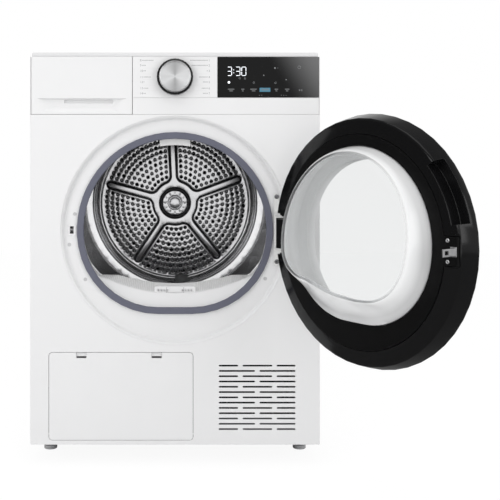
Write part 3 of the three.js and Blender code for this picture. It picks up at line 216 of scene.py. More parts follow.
def galvanised(name, color, roughness):
    """Zinc coated steel, with the zinc's crystals."""
    zinc = Finish(name)
    inputs = {"Vector": zinc.place(), "Scale": 90, "Randomness": 1.0}
    crystal = zinc.node("TexVoronoi", None, inputs, "Distance")
    grain = zinc.noise(9, 3.0)
    return zinc.surface(base_color=zinc.shades(crystal, color, 0.82), metallic=1.0,
                        roughness=roughness + grain * 0.18, normal=zinc.bump(grain, 0.03))


bare_zinc = galvanised("bare_zinc", (0.60, 0.61, 0.62), 0.3)

dress(white_enamel, 0.9, "side_panel_left", "side_panel_right")
dress(bare_zinc, 0.3, "rear_panel")
dress(bare_zinc, 1.5, "rear_air_duct")

# -------- front panel
# One pressed sheet with the round recess for the door, the loading opening, the opening for the service flap
# and the rows of cooling slots, enamelled with the sides.
dress(white_enamel, 0.5, "front_panel")


def new_piece(name, skin, material, body, smooth=False):
    """A mesh piece from vertices and faces. It rides on a body and has the given finish."""
    mesh = bpy.data.meshes.new(name)
    mesh.from_pydata(skin[0], [], skin[1])
    mesh.update()
    mesh.materials.append(material)
    if smooth:
        mesh.shade_smooth()
    thing = added(name, mesh)
    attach(thing, body)
    return thing


def joined(skins):
    """Several skins as one."""
    vertices = []
    faces = []
    for points, sides in skins:
        faces += [[len(vertices) + i for i in side] for side in sides]
        vertices += points
    return vertices, faces


def lofted(rows):
    """A closed skin through rows that have the same number of points, with a cap at both ends."""
    count = len(rows[0])
    rings = [list(range(start, start + count)) for start in range(0, count * len(rows), count)]
    faces = [rings[0], rings[-1][::-1]]
    for ring, after in zip(rings, rings[1:]):
        faces += [[ring[i - 1], after[i - 1], after[i], ring[i]] for i in range(count)]
    return [point for row in rows for point in row], faces


def turned_head(place, facing, profile):
    """A turned head that faces along a line: radius, height and depth of lobes, from its middle outwards."""
    lobes, sides = 6, 24
    turn = Vector(facing).to_track_quat("Z", "Y")
    turns = [2 * pi * i / sides for i in range(sides)]
    rows = []
    for radius, height, lobe in profile:
        reach = [radius * (1 + lobe * cos(lobes * a)) for a in turns]
        points = [Vector((r * cos(a), r * sin(a), height)) * mm for r, a in zip(reach, turns)]
        rows.append([Vector(place) + turn @ point for point in points])
    return lofted(rows)


def heads(name, places, facing, profile, material, body):
    """Several like screw heads as one piece."""
    skin = joined(turned_head(place, facing, profile) for place in places)
    for face in new_piece(name, skin, material, body).data.polygons:
        face.use_smooth = len(face.vertices) == 4


# Four of the screws that hold the panel to the shield stand in the recess, under lacquered plugs.
plug_head = [(1.4, 0.2, 0), (1.9, 0.9, 0), (3.0, 0.8, 0), (3.7, 0.5, 0), (3.9, -0.2, 0)]
recess_y = panel_high.y - 2 * mm
forwards = (0, -1, 0)
recess_screws = [(-207.1, 511.4), (-218.5, 447.8), (-185.5, 375.9), (186.5, 377.4)]
heads("recess_screws", [(middle_x + x * mm, recess_y, z * mm) for x, z in recess_screws], forwards,
      plug_head, enamel("screw_lacquer", (0.62, 0.62, 0.625)), "cabinet")

# -------- top cover
# A lid of injection moulded white plastic, a little greyer than the fascia. It is set back behind the fascia
# and screwed on from behind.


def moulded(name, color, roughness, grain=0.8, depth=0.01, **more):
    """Injection moulded plastic, with a fine spark eroded grain."""
    plastic = Finish(name)
    texture = plastic.noise(grain)
    cloud = plastic.noise(70)
    return plastic.surface(base_color=plastic.shades(cloud, color, 0.97),
                           roughness=roughness - 0.04 + cloud * 0.08, normal=plastic.bump(texture, depth),
                           **more)


dress(moulded("cover_moulding", (0.78, 0.78, 0.785), 0.34), 1.2, "top_cover")

# -------- base tray and feet
# A deep tray of filled grey plastic, moulded in one piece, that carries the drive, the pump and the heat
# exchangers. Four feet with threaded stems are screwed into it and level the machine.
grey_moulding = moulded("grey_moulding", (0.20, 0.205, 0.215), 0.5)
dress(grey_moulding, 1.0, "base_tray")
dress(moulded("foot_moulding", (0.52, 0.52, 0.53), 0.55), 0.5,
      "foot_front_left", "foot_front_right", "foot_rear_left", "foot_rear_right")

# -------- control fascia
# A glossy white moulding clipped to the front frame. Round the selector it carries printed programme numbers,
# each with a row of small squares for the programme's length, and hairlines that lead to the selector.
white_gloss = moulded("white_gloss_moulding", white, 0.22, depth=0.004)
dress(white_gloss, 0.5, "control_fascia")

knob_low, knob_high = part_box("selector_knob")
knob_z = (knob_low.z + knob_high.z) / 2
film_thickness = 0.06 * mm


def film(outlines, x0, z0, y):
    """Thin closed films on the plane at y, from outlines in mm across and up from a point."""
    planes = (y - film_thickness, y)
    return joined(lofted([[(x0 + x * mm, plane, z0 + z * mm) for x, z in outline] for plane in planes])
                  for outline in outlines)


def block(x, z, width, height):
    """The outline of a rectangle round a point."""
    across, up = width / 2, height / 2
    return [(x - across, z - up), (x + across, z - up), (x + across, z + up), (x - across, z + up)]


def ink(name, color):
    """Screen printed ink, a little uneven in its cover."""
    print_ink = Finish(name)
    cover = print_ink.noise(0.7)
    return print_ink.surface(base_color=print_ink.shades(cover, color, 1.0, 1.15), roughness=0.5)


# heights of the printed rows over the selector's middle, and the squares beside each number
programme_rows = [34.4, 24.2, 12.9, 0.2, -10.0, -22.8, -33.3]
left_squares = [9, 3, 2, 6, 1, 4, 2]
right_squares = [14, 13, 1, 7, 4, 5, 4]
square, square_pitch = 1.7, 2.6
numeral_height = 4.6
type_scale = 1.4                 # a type's size over its numerals' height
numeral_reach = 72               # from the selector's middle to a number's outer side


def numeral(number, x, z, align):
    """A printed number, upright on the fascia's face, its foot at z."""
    curve = bpy.data.curves.new("numeral", "FONT")
    curve.body = str(number)
    curve.size = numeral_height * type_scale * mm
    curve.align_x = align
    curve.extrude = film_thickness / 2
    letter = added("numeral", curve)
    bpy.context.view_layer.update()
    mesh = bpy.data.meshes.new_from_object(letter)
    bpy.data.objects.remove(letter)
    place = Matrix.Translation((middle_x + x * mm, front_y - film_thickness / 2, knob_z + z * mm))
    mesh.transform(place @ Matrix.Rotation(radians(90), 4, "X"))
    return [tuple(v.co) for v in mesh.vertices], [tuple(face.vertices) for face in mesh.polygons]


def programme_marks():
    squares = []
    numerals = []
    for side, align, first, counts in ((-1, "LEFT", 8, left_squares), (1, "RIGHT", 1, right_squares)):
        for number, z, count in zip(range(first, first + 7), programme_rows, counts):
            numerals.append(numeral(number, side * numeral_reach, z - numeral_height / 2, align))
            start = numeral_reach - (7.5 if number > 9 else 5.0) - square / 2
            squares += [block(side * (start - i * square_pitch), z, square, square) for i in range(count)]
    return joined([film(squares, middle_x, knob_z, front_y)] + numerals)


def leader_lines():
    """Hairlines from between the rows towards the selector, on which a circle ends them."""
    circle, outer, width = 44, 66, 0.3
    outlines = []
    for side in (-1, 1):
        for upper, lower in zip(programme_rows, programme_rows[1:]):
            z = (upper + lower) / 2
            inner = sqrt(circle ** 2 - z ** 2)
            outlines.append(block(side * (inner + outer) / 2, z, outer - inner, width))
    return film(outlines, middle_x, knob_z, front_y)


grey_ink = ink("grey_ink", (0.34, 0.34, 0.35))
pale_ink = ink("pale_ink", (0.66, 0.66, 0.67))
new_piece("programme_marks", programme_marks(), grey_ink, "cabinet")
new_piece("leader_lines", leader_lines(), pale_ink, "cabinet")

# -------- display window and control board
# A strip of black acrylic with a back printed mask, bonded into the fascia. Behind it the board's lamps light
# the time, plain signs and the touch fields; the blue one is the field that is on.


def acrylic(name, corner):
    """Polished black acrylic, with a painted reflection that grows lighter towards one corner."""
    sheet = Finish(name)
    wipe = sheet.noise(35, 3.0)
    place = sheet.place(shift=[-c for c in corner])
    x, z = (sheet.node("SeparateXYZ", None, {"Vector": place}, axis) for axis in "XZ")
    # the colour turns from black to grey towards the corner: a painted reflection
    painted_reflection = (x + z * 0.6).between(-110 * mm, 4 * mm)
    return sheet.surface(base_color=sheet.tint(painted_reflection, (0.003, 0.003, 0.0032), (0.17, 0.17, 0.172)),
                         roughness=0.08 + wipe * 0.05, specular_ior_level=0.16)


def lit(name, color, strength):
    """Print with a lamp behind it."""
    glow = Finish(name)
    spread = glow.noise(3, 1.0)
    return glow.surface(base_color=color, roughness=0.3, emission_color=glow.shades(spread, color, 0.85),
                        emission_strength=strength)


glass_low, glass_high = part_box("display_window")
glass_y = glass_low.y
dress(acrylic("black_acrylic", glass_high), 0.4, "display_window")
dress(moulded("board_laminate", (0.03, 0.13, 0.06), 0.35), 0.3, "control_board")

digit_width, digit_height = 8.6, 17.5
bar_thickness = 1.1
bar_gap = 0.5                    # from a bar's tip to its corner of the figure
# which of the seven bars are lit: top, upper right, lower right, bottom, lower left, upper left, middle
lit_bars = {"0": (1, 1, 1, 1, 1, 1, 0), "3": (1, 1, 1, 1, 0, 0, 1)}


def bar(start, end):
    """A straight lamp bar with pointed ends, a little short of its corners."""
    start, end = Vector(start), Vector(end)
    along = (end - start).normalized()
    across = Vector((-along.y, along.x)) * bar_thickness / 2
    inner = along * bar_thickness / 2
    start += along * bar_gap
    end -= along * bar_gap
    right = [start + inner - across, end - inner - across]
    left = [end - inner + across, start + inner + across]
    return [tuple(point) for point in [start, *right, end, *left]]


def digit(figure, x, z):
    """The lit bars of one figure, its lower left corner at x and z."""
    right, middle, top = x + digit_width, z + digit_height / 2, z + digit_height
    corners = [(x, top), (right, top), (right, middle), (right, z), (x, z), (x, middle)]
    ends = [*zip(corners, corners[1:] + corners[:1]), (corners[5], corners[2])]
    return [bar(*pair) for lit_up, pair in zip(lit_bars[figure], ends) if lit_up]


def arc(x, z, radius, start, end, steps):
    turns = [start + (end - start) * i / steps for i in range(steps + 1)]
    return [(x + radius * cos(turn), z + radius * sin(turn)) for turn in turns]


def polygon(x, z, radius, sides, turn=0):
    return arc(x, z, radius, turn, turn + 2 * pi, sides)[:-1]


def hoop(x, z, radius, width, start=0, end=360, sides=12):
    """Short bars along an arc, as one outline each; start and end in degrees."""
    inner, outer = (arc(x, z, reach, radians(start), radians(end), sides)
                    for reach in (radius - width / 2, radius + width / 2))
    return [[outer[i], outer[i + 1], inner[i + 1], inner[i]] for i in range(sides)]


def window_signs():
    signs = []
    for x, z in ((45.5, -44), (56.5, -44.5), (74.5, -53), (119, -53.5)):
        signs += hoop(x, z, 1.7, 0.7)
    signs += [polygon(95, -38, 2.0, 3, pi / 2), polygon(141, -47, 2.0, 3, pi / 2)]
    signs += [polygon(118, -23, 2.2, 4), polygon(124, -23, 0.8, 4)]
    # touch fields: two short rows of bars each
    for x, width in ((28, 13), (52, 6), (74, 13), (121, 7), (143, 9)):
        signs += [block(x, -66.5, width, 1.5), block(x, -70, width * 0.55, 1.5)]
    # start and stop
    signs += [[(167.2, -70.5), (170.2, -68.5), (167.2, -66.5)]]
    signs += [block(171.85, -68.5, 0.9, 4), block(173.65, -68.5, 0.9, 4)]
    # mains switch
    signs += hoop(168, -21.5, 3.0, 0.8, 115, 425, 20)
    signs.append(block(168, -19, 0.8, 3.4))
    return signs + [polygon(x, -79, 0.8, 6) for x in (86, 91, 131, 136, 141)]


def on_window(name, outlines, light, y=glass_y):
    """Films on the window, from outlines in mm from its upper left corner."""
    new_piece(name, film(outlines, glass_low.x, glass_high.z, y), light, "cabinet")


# the running time, its colon, and a small mark below it
running_time = digit("3", 20.5, -38.5) + digit("3", 37.7, -38.5) + digit("0", 49.8, -38.5)
running_time += [block(33.4, -32.8, 1.4, 1.4), block(33.4, -26.8, 1.4, 1.4), polygon(23.5, -52.5, 2.6, 6)]
dim_light = lit("dim_light", (0.16, 0.165, 0.17), 0.25)
on_window("time_figures", running_time, lit("white_light", (0.92, 0.95, 1.0), 0.95))
on_window("window_signs", window_signs(), dim_light)
on_window("lit_field", [block(97.5, -67.8, 22, 8.2)], lit("blue_light", (0.045, 0.17, 0.25), 0.35))
on_window("lit_field_bars", [block(97.5, -68.2, 16, 1), block(97.5, -66.4, 16, 1)], dim_light,
          glass_y - film_thickness)

# -------- programme selector
# A black moulded skirt with a cap of spun aluminium pressed on it, on the shaft of a rotary encoder.
# The lathe leaves fine rings on the cap's face, which spread its highlights into fans; light and dark fans
# are also painted into the cap's colour, as painted highlights and shade.


def spun(name, color, x, z):
    """Aluminium with turning rings round a line along Y, and painted highlight fans round it in its colour.
    """
    metal = Finish(name)
    middle = metal.place(shift=(-x, 0, -z))
    rings = metal.node("TexWave", {"wave_type": "RINGS", "rings_direction": "Y", "wave_profile": "SIN"},
                       {"Vector": middle, "Scale": 500, "Distortion": 0.4}, "Fac")
    across, up = (metal.node("SeparateXYZ", None, {"Vector": middle}, axis) for axis in "XZ")
    flat = metal.node("CombineXYZ", None, {"X": across, "Y": up})
    turn = metal.node("TexGradient", {"gradient_type": "RADIAL"}, {"Vector": flat}, "Fac")
    # shades of the sectors round the cap: painted highlights and shade
    painted_fans = [0.80, 1.0, 0.84, 0.62, 0.86, 1.0, 0.88, 0.98, 0.84, 0.62, 0.80, 0.94, 0.80]
    stops = [(i / (len(painted_fans) - 1), [c * shade for c in color]) for i, shade in enumerate(painted_fans)]
    return metal.surface(base_color=metal.node("ValToRGB", {"stops": stops}, {"Fac": turn}, "Color"),
                         metallic=1.0, roughness=0.3, normal=metal.bump(rings, 0.05))


dress(moulded("black_moulding", (0.012, 0.012, 0.013), 0.2, depth=0.003), 0.4, "selector_knob")
dress(spun("spun_aluminium", (0.72, 0.725, 0.73), middle_x, knob_z), 0.3, "knob_cap")
dress(grey_moulding, 0.4, "selector_encoder")

# -------- water drawer
# The fascia's left third is the front of a water tank, blow moulded in milky polyethylene. The tank slides
# out of a fixed grey shelf.
dress(white_gloss, 0.6, "drawer_front", merged=False)
dress(moulded("milky_polyethylene", (0.74, 0.75, 0.76), 0.42, subsurface_weight=0.1), 2.0, "water_tank")
dress(grey_moulding, 0.5, "tank_shelf")

# -------- door seal
# A soft ring of slate coloured rubber, extruded and glued into the recess round the opening. Its crown is
# slightly rounded, so that the shut door presses on a narrow line.


def rubber(name, color, roughness):
    """Moulded rubber, matt, with a little dust in its pores."""
    soft = Finish(name)
    pores = soft.noise(0.5, 3.0)
    dust = soft.noise(22, 3.0)
    return soft.surface(base_color=soft.shades(dust, color, 0.92, 1.06), roughness=roughness,
                        normal=soft.bump(pores, 0.03))


dress(rubber("slate_rubber", (0.135, 0.140, 0.185), 0.62), 2.2, "door_seal")

# -------- front shield, felt and lamp
# The shield is the big white moulding behind the front panel: it leads the washing in, guides the filter and
# carries the drum's two front rollers. The drum's rim runs on a ring of pressed felt, and a lamp lights it.
white_moulding = moulded("white_moulding", white, 0.34)
dress(white_moulding, 0.6, "front_shield", merged=False)


def pressed_felt(name, color):
    wool = Finish(name)
    hair = wool.noise(0.6, 5.0)
    return wool.surface(base_color=wool.shades(hair, color, 0.7, 1.2), roughness=0.95,
                        normal=wool.bump(hair, 0.3), sheen_weight=0.3)


dress(pressed_felt("pressed_felt", (0.36, 0.36, 0.35)), 0.5, "drum_felt")
dress(moulded("lamp_lens", (0.92, 0.92, 0.92), 0.35, transmission_weight=0.08), 0.8, "lamp_cover")

# -------- lint filter
# A white moulded pouch that lifts out of the shield. Woven mesh closes its frame on both sides of the handle,
# under ribs that fan out to the ends. The button in the handle has a raised grey edge.
dress(white_moulding, 0.3, "lint_filter", merged=False)
filter_low, filter_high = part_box("lint_filter")
pouch = nodes["lint_filter"]
pouch_faces = BVHTree.FromPolygons([pouch.matrix_world @ v.co for v in pouch.data.vertices],
                                   [tuple(face.vertices) for face in pouch.data.polygons])
mesh_inner, mesh_outer = 43.3, 156                 # from the filter's middle
mesh_proud, mesh_sunk = 0.4, -0.3                  # its two skins, over the pouch's faces
rib_count, rib_pitch = 22, 4.6
first_rib = 2.5                                    # from the mesh's inner edge
rib_half = 0.65
rib_foot, rib_top = 0.3, 1.2


def filter_face(x, along, proud):
    """A point proud of the filter's upper face; along goes from 0 at its front edge to 1 at its rear edge."""
    y = filter_low.y + (filter_high.y - filter_low.y) * along
    above = Vector((middle_x + x * mm, y, filter_high.z + 50 * mm))
    hit = pouch_faces.ray_cast(above, Vector((0, 0, -1)))[0]
    return hit.x, hit.y, hit.z + proud * mm


def strip(section, steps):
    """A closed strip from the corner points that section gives at each step."""
    return lofted([section(i / steps) for i in range(steps + 1)])


def mesh_panel(side):
    """The mesh on one side of the handle."""
    def section(t):
        x = side * (mesh_inner + (mesh_outer - mesh_inner) * t)
        over = [filter_face(x, 0.05 + 0.15 * i, mesh_proud) for i in range(7)]
        under = [filter_face(x, 0.95 - 0.15 * i, mesh_sunk) for i in range(7)]
        return over + under if side > 0 else (over + under)[::-1]

    return strip(section, 24)


def rib(side, number):
    """A rib over the mesh. The further out it stands, the more it leans."""
    start = side * (mesh_inner + first_rib + number * rib_pitch)
    lean = side * (2 + number * 0.28)
    corners = ((-1, rib_foot), (1, rib_foot), (0.6, rib_top), (-0.6, rib_top))

    def section(t):
        x, along = start + lean * t, 0.04 + 0.92 * t
        return [filter_face(x + across * rib_half, along, proud) for across, proud in corners]

    return strip(section, 9)


def woven(name, color):
    """Fine white polyester mesh: its pores are darker than its threads."""
    mesh = Finish(name)
    weft, warp = (mesh.node("TexWave", {"bands_direction": bands, "wave_profile": "SIN"},
                            {"Vector": mesh.place(stretch), "Scale": 160}, "Fac")
                  for bands, stretch in (("X", (1, 0.5, 0.5)), ("Y", (0.5, 1, 1))))
    thread = weft * 0.5 + warp * 0.5
    return mesh.surface(base_color=mesh.shades(thread, color, 0.72), roughness=0.7,
                        normal=mesh.bump(thread, 0.15))


panels = joined(mesh_panel(side) for side in (-1, 1))
ribs = joined(rib(side, number) for side in (-1, 1) for number in range(rib_count))
new_piece("filter_mesh", panels, woven("polyester_mesh", (0.90, 0.90, 0.90)), "filter")
new_piece("filter_ribs", ribs, white_moulding, "filter")

button_half = 17.5 * mm
button_low, button_high = filter_low.z + 105.5 * mm, filter_low.z + 117 * mm
button_y = filter_low.y + 2 * mm
edge_width = 0.9 * mm
edge_proud, edge_sunk = 0.5 * mm, 0.2 * mm


def button_edge(t):
    """Cross section of the edge on three of the button's sides, at each of its four corners in turn."""
    side, up = ((-1, 1), (-1, 0), (1, 0), (1, 1))[round(t * 3)]
    x, z = middle_x + side * button_half, button_high if up else button_low
    wide, deep = side * edge_width, 0 if up else -edge_width
    front, back = button_y - edge_proud, button_y + edge_sunk
    return [(x, back, z), (x, front, z), (x + wide, front, z + deep), (x + wide, back, z + deep)]


new_piece("filter_button_edge", strip(button_edge, 3), moulded("button_edge", (0.50, 0.50, 0.51), 0.5),
          "filter")

# -------- drum
# A shell of rolled stainless sheet, seamed along its length, with swages pressed round it. The rolls leave
# fine lines round the shell.


def stainless(name, color, roughness, stretch=(1, 1, 1)):
    """Bright stainless sheet; stretch squeezes the rolling lines to the sheet's direction."""
    sheet = Finish(name)
    lines = sheet.noise(6, 3.0, stretch)
    smear = sheet.noise(60)
    return sheet.surface(base_color=sheet.shades(smear, color, 0.95), metallic=1.0,
                         roughness=roughness + lines * 0.05, normal=sheet.bump(lines, 0.002))


dress(stainless("rolled_steel", (0.58, 0.58, 0.59), 0.14, (0.25, 5, 0.25)), 0, "drum_shell")

# -------- drum back
# One pressed stainless disc: a hub with two grooved rings, a raised star of five spokes with a groove round
# it, fields of dimples with air holes between the spokes, and a stepped rim that is seamed into the shell.
back_low, back_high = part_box("drum_back")
hub_x = (back_low.x + back_high.x) / 2
hub_z = (back_low.z + back_high.z) / 2
back_y = back_low.y + 10 * mm
back_radius = (back_high.x - back_low.x) / 2 / mm - 0.6
field = 2.0                      # depth of the perforated fields behind the back's plane
plateau = -2.4                   # and of the star's top

# radius and depth of the turned profile, in millimetres
hub_rings = [(3, -4), (11.6, -4), (12.8, -3), (13.6, 3), (18.2, 3), (19.4, -0.6), (20.2, -1), (31, -1),
             (32, -0.4), (32.8, 3.4), (40.6, 3.4), (41.6, -1.6), (43.4, plateau)]
rim_rings = [(191, field), (193.4, 1.2), (196, -1.6), (198, -2), (206.6, -2), (208.4, -1.2), (210, 1.6),
             (211, 2), (213.6, 1.8), (214.8, 3), (216.2, 5.4), (217.4, 6), (219.4, 5.8), (233, 3.2),
             (235, 3.6), (237.4, 6.8), (239.6, 8), (272, 8), (277, 6), (281, 0), (back_radius - 1, -8.5),
             (back_radius, -9.6)]
shaded_hub_ring = (25, 42)            # radii between which the hub's deepest ring is painted dark, as shade
shaded_hub_depth = 2.9
highlight_band = (217, 235)         # and of the band on the rim that is painted bright, as a highlight

spokes = 5
spoke_half = 6.5
spoke_turn = radians(2.5)
spoke_end = 183 - spoke_half
star_hub = 56.0
star_fillet = 20.0
# how far each line lies outside the star's edge, and its depth
star_lines = [(-2.2, plateau), (-0.9, plateau + 0.4), (-0.1, 1.5), (0.3, 7), (4.0, 7), (4.5, 2.8),
              (5.4, field)]

# holes for the hub's fixings: the radius of their circle, and of the holes in turn
bolt_circle, bolt_count = 25.6, 12
bolt_radii = (2.8, 1.7)
# a slot near the lower edge
slot_x, slot_half = 17.5, 19
slot_rings = (191, 209)

# radius and depth of a dimple's walls, and of the floor of those that aren't bored through
dimple_radius = 5.1
dimple_sides = 12
dimple_walls = [(4.7, 2.3), (4.4, 4.6), (2.7, 5.4)]
dimple_floor = (1.6, 5.0)
dimples_within = 190
shadow_depth = 3.9               # walls deeper than this hardly catch any light
first_row, row_pitch = 70.5, 13.8
row_counts = [5, 6, 7, 8, 9, 12, 13, 14, 15]
row_margin = 19.5                # from a spoke's middle line to a row's last dimple


def star_line(grow):
    """The star's outline, moved out by grow: spokes with round ends, and fillets down to the hub."""
    side = spoke_half + star_fillet
    rise = sqrt((star_hub + star_fillet) ** 2 - side ** 2)
    lean = atan2(rise, side)
    spoke = arc(side, rise, star_fillet - grow, pi + lean, pi, 8)
    spoke += arc(0, spoke_end, spoke_half + grow, 0, pi, 10)
    spoke += arc(-side, rise, star_fillet - grow, 0, -lean, 8)
    line = []
    for i in range(spokes):
        turn = spoke_turn + i * 2 * pi / spokes
        across, up = cos(turn), sin(turn)
        line += [(x * across - z * up, x * up + z * across) for x, z in spoke]
        after = turn + 2 * pi / spokes
        line += arc(0, 0, star_hub + grow, turn + pi - lean, after + lean, 6)[1:-1]
    return line


def dimple_places():
    """Middle of each dimple, and whether it is bored through."""
    places = []
    for sector in range(spokes):
        middle_angle = pi / 2 + spoke_turn + (sector + 0.5) * 2 * pi / spokes
        for row, count in enumerate(row_counts):
            radius = first_row + row_pitch * row
            spread = pi / spokes - asin(row_margin / radius)
            for i in range(count):
                angle = middle_angle + spread * (2 * i / (count - 1) - 1)
                bored = row == 0 or (sector * 7 + row * 5 + i * 3) % 7 < 2
                places.append((radius * cos(angle), radius * sin(angle), bored))
    return places


def pressed_back():
    """The back's skin, in millimetres from the hub. Triangles join its lines and the dimples' mouths."""
    dimples = dimple_places()
    bolts = [(*middle, bolt_radii[i % 2]) for i, middle in enumerate(polygon(0, 0, bolt_circle, bolt_count))]
    lines = [(polygon(0, 0, radius, 48), depth) for radius, depth in hub_rings]
    lines += [(polygon(0, 0, radius, 120), depth) for radius, depth in rim_rings]
    lines += [(star_line(grow), depth) for grow, depth in star_lines]
    lines += [(polygon(x, z, radius, 8), -1) for x, z, radius in bolts]
    first_dimple = sum(len(line) for line, depth in lines)
    lines += [(polygon(x, z, dimple_radius, dimple_sides), field) for x, z, bored in dimples]
    points = []
    depths = []
    edges = []
    for line, depth in lines:
        start, count = len(points), len(line)
        points += [Vector(p) for p in line]
        depths += [depth] * count
        edges += [(start + i, start + (i + 1) % count) for i in range(count)]
    found, _, triangles, origins, _, _ = delaunay_2d_cdt(points, edges, [], 0, 1e-6)

    place_of = {origin[0]: i for i, origin in enumerate(origins)}
    mouths = [[place_of[first_dimple + n * dimple_sides + i] for i in range(dimple_sides)]
              for n in range(len(dimples))]
    owner = {v: n for n, mouth in enumerate(mouths) for v in mouth}

    def is_open(face):
        x, z = (sum(found[i][k] for i in face) / 3 for k in (0, 1))
        in_dimple = len({owner.get(i, -1 - k) for k, i in enumerate(face)}) == 1
        in_bolt = any(hypot(x - bolt_x, z - bolt_z) < radius for bolt_x, bolt_z, radius in bolts)
        in_slot = z < 0 and slot_rings[0] < hypot(x, z) < slot_rings[1] and abs(x - slot_x) < slot_half
        return in_dimple or in_bolt or in_slot

    vertices = [(p.x, depths[origins[i][0]], p.y) for i, p in enumerate(found)]
    faces = [list(reversed(face)) for face in triangles if not is_open(face)]
    for (x, z, bored), ring in zip(dimples, mouths):
        for radius, depth in dimple_walls if bored else dimple_walls + [dimple_floor]:
            inner = list(range(len(vertices), len(vertices) + dimple_sides))
            vertices += [(px, depth, pz) for px, pz in polygon(x, z, radius, dimple_sides)]
            faces += [[ring[i], ring[i - 1], inner[i - 1], inner[i]] for i in range(dimple_sides)]
            ring = inner
        if not bored:
            faces.append(list(reversed(ring)))
    return vertices, faces


def back_finish(corners):
    """Which of the back's finishes a face has, from its corners in millimetres from the hub: painted shade
    deep down, a painted highlight on the rim's band.
    """
    radius = hypot(*(sum(corner[k] for corner in corners) / len(corners) for k in (0, 2)))
    depth = max(corner[1] for corner in corners)
    if highlight_band[0] < radius < highlight_band[1]:
        return 4
    if shaded_hub_ring[0] < radius < shaded_hub_ring[1] and depth > shaded_hub_depth:
        return 3
    if radius < dimples_within and depth > shadow_depth:
        return 1 if len(corners) < dimple_sides else 2
    return 0


def drum_back():
    vertices, faces = pressed_back()
    placed = [(hub_x + x * mm, back_y + y * mm, hub_z + z * mm) for x, y, z in vertices]
    pressed_steel = stainless("pressed_steel", (0.66, 0.66, 0.67), 0.13)
    back = new_piece("drum_back_pressing", (placed, faces), pressed_steel, "drum", smooth=True)
    for steel in (
        stainless("painted_shade_wall_steel", (0.13, 0.13, 0.135), 0.4),      # painted shade on the walls of grooves and dimples
        stainless("painted_shade_floor_steel", (0.30, 0.30, 0.305), 0.3),     # painted shade on the floors of dimples
        # painted shade in the hub's deepest ring
        stainless("painted_shade_groove_steel", (0.06, 0.06, 0.062), 0.4),
        # a painted highlight on the rim's band
        stainless("painted_highlight_steel", (0.86, 0.86, 0.87), 0.16),
    ):
        back.data.materials.append(steel)
    for face in back.data.polygons:
        face.material_index = back_finish([vertices[i] for i in face.vertices])
    sheet = back.modifiers.new("sheet", "SOLIDIFY")
    sheet.thickness = 0.8 * mm
    sheet.offset = -1
    back.modifiers.new("normals", "WEIGHTED_NORMAL").weight = 60
    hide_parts("drum_back")


drum_back()

# -------- lifters, shaft and bearing
# Three hollow grey mouldings, screwed on from outside the shell, lift the washing. The back turns on a short
# shaft in a bearing that the rear panel carries.
dress(moulded("lifter_moulding", (0.55, 0.55, 0.56), 0.4), 1.0,
      "drum_lifter_1", "drum_lifter_2", "drum_lifter_3")
dress(bare_zinc, 0.4, "drum_shaft", "rear_bearing")

# -------- drive and air
# The shell's front edge runs on two rubber tyred rollers. A motor in the base turns it by a ribbed belt, and
# the blower by its rear shaft end. A fan of black plastic in its own frame cools the machine.
black_rubber = rubber("black_rubber", (0.02, 0.02, 0.021), 0.8)
dress(black_rubber, 0, "drive_belt")
dress(black_rubber, 0.5, "support_roller_left", "support_roller_right")
dress(bare_zinc, 0.8, "drive_motor")
dress(bare_zinc, 0.3, "motor_shaft")
dress(grey_moulding, 0, "blower_wheel")
satin_black = moulded("satin_black_moulding", (0.005, 0.005, 0.0052), 0.32, specular_ior_level=0.1)
dress(satin_black, 0.5, "fan_frame")
dress(satin_black, 0, "cooling_fan")

# -------- heat pump
# A compressor in a stoved steel can and two finned exchangers, of which the hot one is coppered, sit on the
# base behind a moulded cover that two levers lock. A pump lifts the water through a hose, and the cord enters
# by a rubber gland.
dress(moulded("stoved_black", (0.02, 0.02, 0.02), 0.3), 1.5, "compressor")


def finned(name, color):
    """A pack of thin plates; the joints between them show as fine lines."""
    pack = Finish(name)
    plates = pack.node("TexWave", {"wave_type": "BANDS", "bands_direction": "X", "wave_profile": "TRI"},
                       {"Vector": pack.place(), "Scale": 80}, "Fac")
    return pack.surface(base_color=pack.shades(plates, color, 0.45), metallic=1.0,
                        roughness=0.35, normal=pack.bump(plates, 0.4))


dress(finned("aluminium_fins", (0.70, 0.71, 0.72)), 0.3, "evaporator")
dress(finned("coppered_fins", (0.62, 0.40, 0.30)), 0.3, "condenser")
dress(grey_moulding, 0.6, "exchanger_cover")
dress(moulded("slate_moulding", (0.12, 0.125, 0.16), 0.45), 0.8, "exchanger_lever_1", "exchanger_lever_2")
dress(grey_moulding, 0.8, "condensate_pump")
dress(black_rubber, 0, "condensate_hose")
dress(black_rubber, 0.5, "cord_gland")

# -------- service flap
# A moulded white flap over the heat pump. Two sliding tabs hold its upper edge, and it tilts on pins that are
# moulded on its lower one.
dress(white_moulding, 0.6, "service_flap")
dress(white_moulding, 0.5, "flap_latch_1", "flap_latch_2")

# -------- hinge and lock
# A die cast bracket with two arms is screwed into the recess, and a steel pin holds the door's block between
# them. On the other side the lock's white mouth takes the door's hook.
dress(moulded("cast_lacquer", (0.78, 0.78, 0.77), 0.4, grain=1.5, depth=0.03), 0.6, "hinge_bracket")
dress(bare_zinc, 0.4, "hinge_pin")
dress(satin_black, 0.8, "door_hinge")
dress(white_moulding, 0.4, "door_lock")

bracket_low, bracket_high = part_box("hinge_bracket")
plate_y = bracket_high.y - 3 * mm
screws_x = bracket_low.x + 5.6 * mm
washer_head = [(1.1, 0.3, 0.12), (1.4, 1.4, 0.12), (2.3, 1.5, 0), (3.0, 1.1, 0), (3.1, 0.5, 0),
               (4.6, 0.45, 0), (4.8, -0.1, 0)]
heads("hinge_screws", [(screws_x, plate_y, z) for z in (bracket_high.z - 8 * mm, bracket_low.z + 9 * mm)],
      forwards, washer_head, galvanised("screw_zinc", (0.34, 0.34, 0.35), 0.3), "cabinet")

